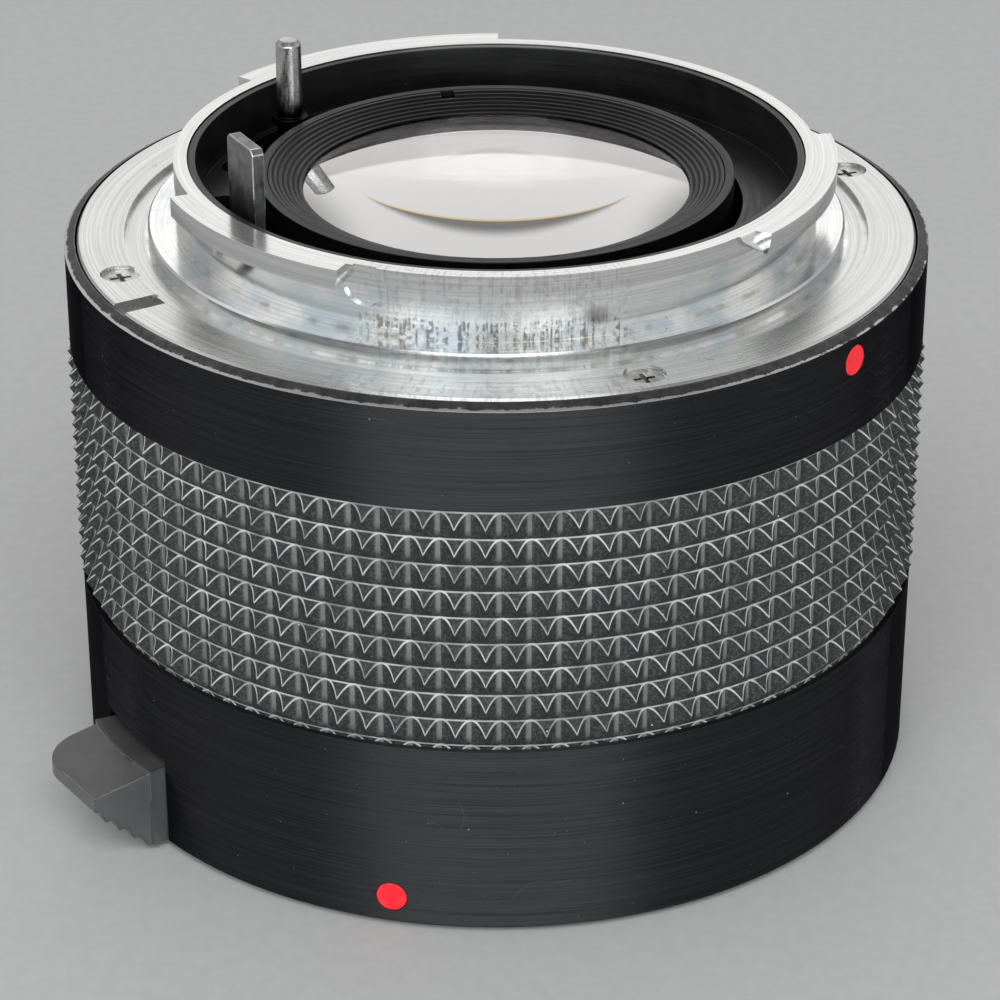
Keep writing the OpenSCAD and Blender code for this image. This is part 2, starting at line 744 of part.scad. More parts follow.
// Paint-filled index dot
module index_dot(angle, height) {
    color(red_paint) at(angle, barrel_r - dot_depth, height) rotate([0, 90, 0])
        cylinder(r = dot_r, h = dot_depth - stack_gap, $fn = small_fn);
}

module front_index_dot() {
    index_dot(front_dot_angle, front_dot_z);
}

module rear_index_dot() {
    index_dot(rear_dot_angle, flange_gap - rear_dot_drop);
}

// Male bayonet: flange, groove, foot ring, tube and lugs
module rear_mount() {
    lug_z = bayonet_top - lug_t;
    color(plated) difference() {
        union() {
            rotate_extrude() polygon([
                [throat_r, rear_seat_z],
                [rear_flange_r, rear_seat_z],
                [rear_flange_r, flange_gap - edge],
                [rear_flange_r - edge, flange_gap],
                [groove_r, flange_gap],
                [groove_r, flange_gap - groove_depth],
                [foot_r, flange_gap - groove_depth],
                [foot_r, flange_gap + foot_h - edge],
                [foot_r - edge, flange_gap + foot_h],
                [bayonet_r, flange_gap + foot_h],
                [bayonet_r, bayonet_top],
                [throat_r, bayonet_top]
            ]);
            for (lug = lugs)
                sector(bayonet_r - lug_root, lug_r, lug_z, bayonet_top,
                    rear_dot_angle + lug[0], rear_dot_angle + lug[1]);
        }
        for (angle = rear_screw_angles)
            at(angle, rear_screw_ring, flange_gap) mirror([0, 0, 1]) countersunk_hole();
        at(lock_angle) translate([notch_in_r, -notch_w / 2, flange_gap - notch_depth])
            cube([rear_flange_r, notch_w, notch_depth + 1]);
        at(rear_dot_angle + lugs[0][1] + spot_turn, bayonet_r - spot_depth, bayonet_top - spot_drop)
            rotate([0, 90, 0]) cylinder(r = spot_r, h = lug_reach + 1, $fn = small_fn);
        at(rear_dot_angle + lugs[1][0] + scoop_turn, bayonet_r + scoop_out, bayonet_top - scoop_drop)
            rotate([0, scoop_tilt, 0]) cylinder(r = scoop_r, h = 2 * lug_reach, $fn = small_fn);
        lead_in_ramp();
    }
}

// Lead-in under the start of the second lug
module lead_in_ramp() {
    difference() {
        at(rear_dot_angle + lugs[1][0], bayonet_r - 1, bayonet_top - ramp_drop) rotate([-ramp_slope, 0, 0])
            translate([0, -1, -2 * lug_t]) cube([lug_reach + 2, 2 * lug_t + 1, 2 * lug_t]);
        cylinder(r = bayonet_r + stack_gap, h = bayonet_top + 1);
    }
}

module rear_mount_screws() {
    color(steel) for (angle = rear_screw_angles)
        at(angle, rear_screw_ring, flange_gap - head_sink) mirror([0, 0, 1]) countersunk_screw();
}

// Black shield inside the male bayonet, with the slot of the couplings
module rear_baffle() {
    color(matt_black) difference() {
        rotate_extrude() polygon([
            [cell_r + cell_gap, floor_z - shield_floor],
            [shield_r, floor_z - shield_floor],
            [shield_r, shield_top],
            [shield_r - shield_wall, shield_top],
            [shield_r - shield_wall, floor_z],
            [cell_r + cell_gap, floor_z]
        ]);
        coupling_slots(floor_z - shield_floor, floor_z, pin_r, lever_w / 2, collar_spare);
        for (angle = shield_screw_angles)
            at(angle, shield_screw_ring, floor_z - shield_floor - eps)
                cylinder(r = shield_screw_r + seat_gap, h = shield_floor + 2 * eps, $fn = small_fn);
    }
}

module rear_baffle_screws() {
    color(matt_black) for (angle = shield_screw_angles)
        at(angle, shield_screw_ring, floor_z) mirror([0, 0, 1])
            pan_screw(shield_screw_r, shield_screw_head_r, shield_screw_l);
}

// Female bayonet: flange, counterbore for a foot ring, and lugs between three gaps
module front_mount() {
    gaps = [
        for (lug = lugs)
            [front_dot_angle + lug[0] - gap_margin, front_dot_angle + lug[1] + gap_margin]
    ];
    color(plated) difference() {
        union() {
            rotate_extrude() polygon([
                [register_r, 0],
                [front_flange_r - edge, 0],
                [front_flange_r, edge],
                [front_flange_r, front_flange_t],
                [hub_r, front_flange_t],
                [hub_r, front_lug_back],
                [gap_r, front_lug_back],
                [gap_r, register_depth],
                [register_r, register_depth]
            ]);
            for (i = [0 : len(gaps) - 1])
                front_lug(gaps[i][1], i + 1 < len(gaps) ? gaps[i + 1][0] : gaps[0][0] + 360);
        }
        for (angle = front_screw_angles)
            at(angle, front_screw_ring) countersunk_hole();
        at(lock_angle, lock_ring_r, -eps)
            cylinder(r = lock_pin_r + lock_clear, h = front_flange_t + 2 * eps, $fn = small_fn);
        for (angle = leaf_angles())
            at(angle, leaf_mid_r, front_lug_back - leaf_rivet_h)
                cylinder(r = leaf_rivet_r + seat_gap, h = 2 * leaf_rivet_h, $fn = small_fn);
    }
}

module front_lug(from, to) {
    sector(front_lug_r, gap_r + lug_root, register_depth, front_lug_back, from, to);
}

// Angles at which the leaf springs on the backs of the front lugs start
function leaf_angles() = [
    for (i = [0 : len(lugs) - 1])
        let (next = i + 1 < len(lugs) ? lugs[i + 1][0] : lugs[0][0] + 360)
        front_dot_angle + (lugs[i][1] + next) / 2 - leaf_span / 2
];

// One bowed leaf that starts at angle 0, as a strip of four-cornered stations
module leaf() {
    stations = 12;
    points = [
        for (i = [0 : stations])
            let (angle = (i / stations) * (leaf_span + 2 * leaf_over) - leaf_over)
            let (z = front_lug_back + leaf_bow * (1 - cos(360 * i / stations)) / 2)
            each [
                for (corner = [[-1, 0], [1, 0], [1, leaf_t], [-1, leaf_t]])
                    let (r = leaf_mid_r + corner[0] * leaf_w / 2)
                    [r * cos(angle), r * sin(angle), z + corner[1]]
            ]
    ];
    skin = [
        for (i = [0 : stations - 1]) for (s = [0 : 3])
            let (t = (s + 1) % 4)
            each [
                [4 * i + s, 4 * (i + 1) + t, 4 * (i + 1) + s],
                [4 * i + s, 4 * i + t, 4 * (i + 1) + t]
            ]
    ];
    last = 4 * stations;
    ends = [[0, 2, 1], [0, 3, 2], [last, last + 1, last + 2], [last, last + 2, last + 3]];
    polyhedron(points, concat(skin, ends));
}

module bayonet_springs() {
    color(steel) for (angle = leaf_angles())
        rotate([0, 0, angle]) {
            leaf();
            translate([leaf_mid_r, 0, front_lug_back - leaf_rivet_h + stop_gap])
                cylinder(r = leaf_rivet_r, h = leaf_rivet_h + leaf_t / 2, $fn = small_fn);
        }
}

module front_mount_screws() {
    color(steel) for (angle = front_screw_angles)
        at(angle, front_screw_ring, head_sink) countersunk_screw();
}

// Black cup behind the front mount, open round the lens tube
module front_baffle() {
    cup_r = hub_r;
    cup_in_r = cup_r - shield_wall;
    color(matt_black) difference() {
        rotate_extrude() polygon([
            [cup_in_r, front_lug_back],
            [cup_r, front_lug_back],
            [cup_r, cup_z + shield_floor],
            [tube_nose_r + seat_gap, cup_z + shield_floor],
            [tube_nose_r + seat_gap, cup_z],
            [cup_in_r, cup_z]
        ]);
        coupling_slots(cup_z, cup_z + shield_floor, fork_w / 2, strip_w / 2, stop_gap);
    }
}

// Plate under the rear lip, with the posts of the rear shield
module bulkhead() {
    shield_post_h = floor_z - shield_floor - rear_lip_z;
    color(black_metal) difference() {
        union() {
            ring(tube_r + seat_gap, bulkhead_r, bulkhead_z, rear_lip_z);
            for (angle = shield_screw_angles)
                at(angle, shield_screw_ring, rear_lip_z - lug_root)
                    cylinder(r = shield_post_r, h = shield_post_h + lug_root, $fn = small_fn);
        }
        coupling_slots(bulkhead_z, rear_lip_z, pin_r, lever_w / 2, collar_spare);
        for (angle = bulkhead_screw_angles)
            at(angle, bulkhead_screw_ring, bulkhead_z - eps)
                cylinder(r = bulkhead_screw_r + seat_gap, h = bulkhead_t + 2 * eps, $fn = small_fn);
        for (angle = shield_screw_angles)
            at(angle, shield_screw_ring, floor_z - shield_floor - shield_screw_l)
                cylinder(r = shield_screw_r + seat_gap, h = shield_screw_l + eps, $fn = small_fn);
    }
}

module bulkhead_screws() {
    color(steel) for (angle = bulkhead_screw_angles)
        at(angle, bulkhead_screw_ring, bulkhead_z) 
            pan_screw(bulkhead_screw_r, bulkhead_screw_head_r, bulkhead_t + lip_t - 0.5);
}

// Lens tube, hung from the bulkhead by its flange
module optical_tube() {
    pair_bore_r = pair_glass_r + seat_gap;
    middle_bore_r = middle_glass_r + seat_gap;
    front_bore_r = front_glass_r + seat_gap;
    step_z = retainer_z - 1.5;
    color(matt_black) rotate_extrude() polygon([
        [front_bore_r, tube_front_z],
        [tube_nose_r, tube_front_z],
        [tube_nose_r, step_z],
        [tube_r, step_z],
        [tube_r, retainer_z],
        [groove_in_r, retainer_z],
        [groove_in_r, retainer_z + retainer_t],
        [tube_r, retainer_z + retainer_t],
        [tube_r, rear_lip_z],
        [cell_r, rear_lip_z],
        [cell_r, tube_top],
        [neck_r, tube_top],
        [neck_r, neck_top],
        [pair_bore_r, neck_top],
        [pair_bore_r, pair_seat_z],
        [middle_bore_r, pair_seat_z],
        [middle_bore_r, middle_z[0]],
        [front_lip_in_r, middle_z[0]],
        [front_lip_in_r, front_seat_z],
        [front_bore_r, front_seat_z]
    ]);
}

module tube_nut() {
    notch_w = 1.2;
    color(brass) difference() {
        ring(tube_r + seat_gap, nut_r, nut_z, bulkhead_z);
        for (turn = [0, 90])
            rotate([0, 0, turn]) translate([-nut_r - 1, -notch_w / 2, nut_z - eps])
                cube([2 * nut_r + 2, notch_w, nut_t / 2]);
    }
}

// Cell of the rear element, screwed onto the neck of the tube
module rear_cell() {
    color(matt_black) rotate_extrude() polygon([
        [neck_r + seat_gap, tube_top],
        [cell_r, tube_top],
        [cell_r, cell_top],
        [ring_out_r + seat_gap, cell_top],
        [ring_out_r + seat_gap, rear_glass_z[1]],
        [rear_glass_r + seat_gap, rear_glass_z[1]],
        [rear_glass_r + seat_gap, cell_seat_z],
        [pair_glass_r - 0.1, cell_seat_z],
        [pair_glass_r - 0.1, neck_top + eps],
        [neck_r + seat_gap, neck_top + eps]
    ]);
}

// Ridged ring that holds the rear element, with two spanner notches
module rear_retaining_ring() {
    foot_z = rear_glass_z[1] + 0.03;
    glass_fall = crown(rear_glass_curve, rear_glass_r) - crown(rear_glass_curve, rear_clear_r);
    glass_z = rear_glass_z[1] + glass_fall;
    inner_z = glass_z + 2 * stack_gap;
    ridge_z = inner_z + 0.15;
    run = (ring_out_r - 0.25 - rear_clear_r) / ridges;
    rise = (cell_top - 0.05 - ridge_z) / ridges;
    notch_w = 1;
    notch_l = 0.75;
    notch_angle = 117;
    color(matt_black) difference() {
        rotate_extrude() polygon(concat(
            [[rear_clear_r, inner_z], [rear_clear_r, ridge_z]],
            [
                for (i = [1 : ridges]) each [
                    [rear_clear_r + i * run - run * 0.45, ridge_z + (i - 1) * rise + rise * 0.1],
                    [rear_clear_r + i * run, ridge_z + i * rise]
                ]
            ],
            [[ring_out_r, cell_top - 0.05], [ring_out_r, foot_z], [rear_glass_r + 0.05, foot_z]]
        ));
        for (turn = [0, 180])
            at(notch_angle + turn, ring_out_r - notch_l, cell_top - 0.6)
                translate([0, -notch_w / 2, 0]) cube([notch_l + 1, notch_w, 2]);
    }
}

module front_retaining_ring() {
    rim_z0 = lens_1_z[0] - stack_gap;
    glass_fall = crown(lens_1_curve, front_glass_r) - crown(lens_1_curve, front_ring_in_r);
    glass_z = lens_1_z[0] - glass_fall - 2 * stack_gap;
    low = tube_front_z + 0.4;
    notch_w = 1;
    notch_l = 0.7;
    color(matt_black) difference() {
        rotate_extrude() polygon([
            [front_ring_in_r, glass_z],
            [front_ring_in_r, glass_z - 0.4],
            [front_glass_r - 0.5, low],
            [front_glass_r, low],
            [front_glass_r, rim_z0]
        ]);
        for (turn = [0, 180])
            at(turn, front_glass_r - notch_l, low - 1)
                translate([0, -notch_w / 2, 0]) cube([notch_l + 1, notch_w, 1.5]);
    }
}

// Seven elements, from the front to the rear
module lens_1() {
    element(front_glass_r, lens_1_z, lens_1_curve, 0);
}

module lens_2() {
    color(glass_tint) rotate_extrude() difference() {
        translate([0, lens_2_z[0]]) square([front_glass_r, lens_2_z[1] - lens_2_z[0]]);
        translate([0, lens_2_z[1] - crown(front_pair_curve, front_glass_r) + front_pair_curve])
            circle(front_pair_curve, $fn = arc_fn);
        translate([0, lens_2_z[0] + crown(front_pair_front_curve, front_lip_in_r) - front_pair_front_curve])
            circle(front_pair_front_curve, $fn = arc_fn);
    }
}

module lens_3() {
    element(front_glass_r, lens_3_z, front_pair_curve, front_pair_back_curve);
}

module lens_4() {
    element(middle_glass_r, middle_z, -middle_curve, -middle_curve);
}

module lens_5() {
    color(glass_tint) rotate_extrude() difference() {
        translate([0, lens_5_z[0]]) square([pair_glass_r, lens_5_z[1] - lens_5_z[0]]);
        translate([0, lens_5_z[1] - crown(pair_curve, pair_glass_r) + pair_curve])
            circle(pair_curve, $fn = arc_fn);
        translate([0, lens_5_z[0] + crown(pair_front_curve, pair_glass_r - 1) - pair_front_curve])
            circle(pair_front_curve, $fn = arc_fn);
    }
}

module lens_6() {
    element(pair_glass_r, lens_6_z, pair_curve, pair_back_curve);
}

module lens_7() {
    element(rear_glass_r, rear_glass_z, 0, rear_glass_curve);
}

// Spacers between the elements
module front_spacer() {
    color(matt_black) ring(front_lip_in_r, front_glass_r, lens_1_z[1] + eps, lens_2_z[0] - eps);
}

module middle_spacer() {
    color(matt_black) ring(middle_glass_r - 0.7, middle_glass_r, middle_z[1] + eps, pair_seat_z - eps);
}

module rear_spacer() {
    inner_r = pair_glass_r - 0.7;
    lift = crown(pair_back_curve, pair_glass_r) - crown(pair_back_curve, inner_r) + 0.03;
    color(matt_black) rotate_extrude() polygon([
        [pair_glass_r, lens_6_z[1] + 0.02],
        [pair_glass_r, neck_top - eps],
        [inner_r, neck_top - eps],
        [inner_r, lens_6_z[1] + lift]
    ]);
}

// Fixed rings on the tube that keep the coupling rings in place
module ring_spacer() {
    color(brass) difference() {
        ring(tube_r + seat_gap, ring_spacer_r, ring_spacer_z, ring_spacer_z + ring_spacer_t);
        for (side = [0, 1])
            at(spring_anchor_angle(side), 0, spring_z(side)) rotate([0, 90, 0])
                cylinder(r = coil_wire_r + seat_gap, h = coil_r, $fn = small_fn);
    }
}

module ring_retainer() {
    color(steel) difference() {
        ring(groove_in_r + seat_gap, tube_r + retainer_w, retainer_z + eps, retainer_z + retainer_t - eps);
        translate([0, -retainer_split / 2, retainer_z - 1])
            cube([2 * tube_r, retainer_split, retainer_t + 2]);
    }
}

// Return spring: a turn of wire between a fixed ring and a turning one, with a leg in each
module return_spring(side) {
    leg_h = ring_play + ring_spacer_t / 2 - coil_offset + coil_leg_in;
    anchor = spring_anchor_angle(side);
    leg = spring_leg_angle(side);
    color(steel) {
        rotate([0, 0, min(anchor, leg) - coil_over]) rotate_extrude(angle = spring_turn + 2 * coil_over)
            translate([coil_r, spring_z(side)]) circle(coil_wire_r, $fn = small_fn);
        at(anchor, ring_spacer_r - coil_leg_in, spring_z(side)) rotate([0, 90, 0])
            cylinder(r = coil_leg_r, h = coil_gap + coil_leg_in, $fn = small_fn);
        at(leg, coil_r, spring_z(side) - (side == 0 ? 0 : leg_h))
            cylinder(r = coil_leg_r, h = leg_h, $fn = small_fn);
    }
}

module stop_down_spring() {
    return_spring(0);
}

module aperture_spring() {
    return_spring(1);
}

// A coupling ring that runs on the tube, with one arm and the hole of its return spring
module coupling_ring(z, arm_angle, arm_w, side) {
    half = asin((arm_w / 2 + 0.6) / arm_r);
    difference() {
        union() {
            ring(tube_r + ring_clear, coupling_r, z, z + ring_t);
            sector(coupling_r - 0.3, arm_r, z, z + ring_t, arm_angle - half, arm_angle + half);
        }
        at(spring_leg_angle(side), coil_r, z - eps)
            cylinder(r = coil_wire_r + 0.05, h = ring_t + 2 * eps, $fn = small_fn);
        children();
    }
}

// The hole through a coupling ring that a tenon sits in
module tenon_hole(width) {
    translate([-strip_t / 2 - seat_gap, -width / 2 - seat_gap, -eps])
        cube([strip_t + 2 * seat_gap, width + 2 * seat_gap, ring_t + 2 * eps]);
}

module stop_down_ring() {
    color(brass) coupling_ring(stop_ring_z, pin_angle, fork_w, 0) {
        at(pin_angle, pin_ring_r, stop_ring_z - eps)
            cylinder(r = pin_shank_r + seat_gap, h = ring_t + 2 * eps, $fn = small_fn);
        at(pin_angle) for (y = [-1, 1])
            translate([pin_ring_r, y * fork_tenon_y, stop_ring_z]) tenon_hole(fork_tenon_w);
    }
}

// Round pin that a camera pushes
module stop_down_pin() {
    base = stop_ring_z + ring_t;
    top = flange_gap + pin_h;
    tip = 0.3;
    foot = base - ring_t + stop_gap;
    collar_z = floor_z + pin_collar_lift;
    color(steel) at(pin_angle, pin_ring_r) rotate_extrude($fn = 40) polygon([
        [0, foot],
        [pin_shank_r, foot],
        [pin_shank_r, base],
        [pin_r, base],
        [pin_r, collar_z],
        [pin_r + pin_collar_w, collar_z],
        [pin_r + pin_collar_w, collar_z + pin_collar_h],
        [pin_r, collar_z + pin_collar_h],
        [pin_r, top - tip],
        [pin_r - tip, top],
        [0, top]
    ]);
}

// Fork that moves the pin of a lens
module stop_down_fork() {
    notch = 2 * slot_half - 2 * stop_gap;
    color(steel) at(pin_angle) difference() {
        union() {
            strip(pin_ring_r, fork_w, fork_z, stop_ring_z);
            for (y = [-1, 1])
                translate([0, y * fork_tenon_y, 0])
                    strip(pin_ring_r, fork_tenon_w, stop_ring_z - eps, stop_ring_z + tenon_h);
        }
        translate([pin_ring_r - strip_t, -notch / 2, fork_z - strip_t])
            cube([2 * strip_t, notch, fork_notch_h + strip_t]);
    }
}

module aperture_ring() {
    color(brass) coupling_ring(aperture_ring_z, lever_angle, lever_w, 1)
        at(lever_angle, lever_ring_r, aperture_ring_z) tenon_hole(lever_tenon_w);
}

// Flat lever that a camera reads
module aperture_lever() {
    base = aperture_ring_z + ring_t;
    top = flange_gap + lever_h;
    corner = 0.5;
    color(steel) at(lever_angle) {
        difference() {
            strip(lever_ring_r, lever_w, base, top);
            for (y = [-1, 1])
                translate([0, y * lever_w / 2, top]) rotate([45, 0, 0])
                    translate([0, -corner / 2, -corner / 2]) cube([2 * lever_ring_r, corner, corner]);
        }
        strip(lever_ring_r, lever_tenon_w, base - tenon_h, base + eps);
    }
}

// Fork that follows the lever of a lens
module aperture_fork() {
    notch = strip_w + 2 * slot_clear - stop_gap;
    head_z = fork_z + fork_notch_h;
    color(steel) at(lever_angle) difference() {
        union() {
            strip(lever_ring_r, strip_w, fork_z, aperture_ring_z);
            strip(lever_ring_r, notch + 2 * prong_w, fork_z, head_z + pass_gap);
            strip(lever_ring_r, lever_tenon_w, aperture_ring_z - eps, aperture_ring_z + tenon_h);
        }
        translate([lever_ring_r - strip_t, -notch / 2, fork_z - strip_t])
            cube([2 * strip_t, notch, fork_notch_h + strip_t - 2 * pass_gap]);
    }
}

// Release lever: a plate in the window, a stepped finger tab and a block that holds the lock pin
module release_lever() {
    tip_r = plate_r + tab_reach;
    tab_top = release_top - tab_step;
    tip_top = tab_top - tab_fall;
    tip_low = tip_top - tab_tip_h;
    root_r = plate_r - 0.6;
    run = (tip_r - plate_r) / tab_steps;
    rise = (tip_low - release_z) / tab_steps;
    middle = lock_angle + release_turn_off;
    y_low = release_shift - release_w / 2;
    color(black_metal) difference() {
        union() {
            sector(plate_in_r, plate_r, release_z, release_top,
                middle - release_half, middle + release_half);
            at(lock_angle) translate([block_in_r, -block_w / 2, block_z])
                cube([plate_in_r + 0.5 - block_in_r, block_w, release_top - block_z]);
            at(lock_angle) intersection() {
                translate([0, y_low + 2 * release_w, 0]) rotate([90, 0, 0]) linear_extrude(3 * release_w)
                    polygon(concat(
                        [[root_r, release_z], [root_r, tab_top], [tip_r, tip_top], [tip_r, tip_low]],
                        [
                            for (i = [1 : tab_steps]) each [
                                [tip_r - (i - 0.35) * run, tip_low - (i - 1) * rise],
                                [tip_r - i * run, tip_low - i * rise]
                            ]
                        ]
                    ));
                linear_extrude(2 * release_top) tab_outline(root_r, tip_r, y_low);
            }
        }
        at(lock_angle, lock_ring_r, 0) cylinder(r = lock_pin_r + eps, h = release_top + 1, $fn = small_fn);
    }
}

// Plan of the finger tab, with one corner rounded and its outer edge falling back to the other
module tab_outline(root_r, tip_r, y_low) {
    difference() {
        polygon([
            [root_r, y_low],
            [tip_r, y_low],
            [tip_r, y_low + tab_corner_r],
            [tip_r - tab_slant, y_low + release_w],
            [root_r, y_low + release_w]
        ]);
        translate([tip_r - tab_corner_r, y_low - 1]) difference() {
            square([tab_corner_r + 1, tab_corner_r + 1]);
            translate([0, tab_corner_r + 1]) circle(tab_corner_r, $fn = small_fn);
        }
    }
}

// Lock pin, flush with the front flange while the converter stands on it
module lock_pin() {
    tip = 0.2;
    color(steel) at(lock_angle, lock_ring_r) rotate_extrude($fn = 32) polygon([
        [0, 0],
        [lock_pin_r - tip, 0],
        [lock_pin_r, tip],
        [lock_pin_r, lock_pin_top],
        [0, lock_pin_top]
    ]);
}

// Coil spring between the release lever and the rib of the barrel
module release_spring() {
    color(steel) at(lock_angle, lock_ring_r) wire(release_path, release_wire_r);
}

barrel();
grip_ring();
front_index_dot();
rear_index_dot();
rear_mount();
rear_mount_screws();
rear_baffle();
rear_baffle_screws();
front_mount();
front_mount_screws();
bayonet_springs();
front_baffle();
bulkhead();
bulkhead_screws();
optical_tube();
tube_nut();
rear_cell();
rear_retaining_ring();
front_retaining_ring();
lens_1();
lens_2();
lens_3();
lens_4();
lens_5();
lens_6();
lens_7();
front_spacer();
middle_spacer();
rear_spacer();
ring_spacer();
ring_retainer();
stop_down_ring();
stop_down_pin();
stop_down_fork();
stop_down_spring();
aperture_ring();
aperture_lever();
aperture_fork();
aperture_spring();
release_lever();
lock_pin();
release_spring();
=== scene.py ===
"""Dressed model of a camera teleconverter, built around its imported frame."""
import logging
import math
from dataclasses import dataclass
from enum import Enum
from typing import Dict, List, NamedTuple, Sequence, Tuple, Union

import bmesh
import bpy
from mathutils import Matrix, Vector


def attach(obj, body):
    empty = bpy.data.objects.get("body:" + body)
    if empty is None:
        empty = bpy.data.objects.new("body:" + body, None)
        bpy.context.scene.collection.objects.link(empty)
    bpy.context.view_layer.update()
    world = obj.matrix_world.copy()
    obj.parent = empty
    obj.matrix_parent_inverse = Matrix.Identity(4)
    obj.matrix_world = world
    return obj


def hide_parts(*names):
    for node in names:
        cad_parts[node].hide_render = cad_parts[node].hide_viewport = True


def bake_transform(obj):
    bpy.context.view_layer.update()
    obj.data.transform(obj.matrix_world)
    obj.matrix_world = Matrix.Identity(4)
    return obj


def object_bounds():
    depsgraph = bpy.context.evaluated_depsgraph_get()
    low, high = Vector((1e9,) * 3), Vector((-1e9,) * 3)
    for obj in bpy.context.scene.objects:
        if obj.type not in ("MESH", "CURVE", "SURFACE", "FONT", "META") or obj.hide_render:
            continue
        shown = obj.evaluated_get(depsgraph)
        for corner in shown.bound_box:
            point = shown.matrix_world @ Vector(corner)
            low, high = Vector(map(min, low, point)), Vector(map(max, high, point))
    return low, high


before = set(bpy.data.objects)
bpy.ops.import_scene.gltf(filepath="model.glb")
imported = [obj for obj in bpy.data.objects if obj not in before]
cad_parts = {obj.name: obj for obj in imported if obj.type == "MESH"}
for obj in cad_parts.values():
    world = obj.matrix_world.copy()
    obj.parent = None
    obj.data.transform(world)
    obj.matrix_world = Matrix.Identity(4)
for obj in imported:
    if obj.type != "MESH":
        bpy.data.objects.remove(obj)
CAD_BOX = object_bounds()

LOG = logging.getLogger("teleconverter")
MM = 0.001

Colour = Tuple[float, float, float]
Point = Tuple[float, float, float]
Span = Tuple[float, float]
Profile = List[Span]
Socket = bpy.types.NodeSocket
Value = Union[float, Tuple[float, ...], Socket]


class Body(Enum):
    """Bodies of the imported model."""

    HOUSING = "housing"
    STOP_DOWN = "stop_down_link"
    APERTURE = "aperture_link"
    RELEASE = "release"


class End(Enum):
    """Ends of the converter."""

    REAR = "rear"
    FRONT = "front"


class Slot(Enum):
    """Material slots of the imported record."""

    ANODISED = "black_anodised"
    RUBBER = "grip_rubber"
    RED = "red_paint"
    PLATED = "plated_metal"
    SCREW = "screw_steel"
    SHIELD = "shield_black"
    CELL = "cell_black"
    GLASS = "lens_glass"
    BRASS = "ring_brass"
    LEVER = "lever_steel"
    SPRING = "spring_steel"


class Place(NamedTuple):
    """Where a shaded point lies on the piece, in millimetres."""

    mm: Socket
    around: Socket
    angle: Socket
    radius: Socket
    height: Socket


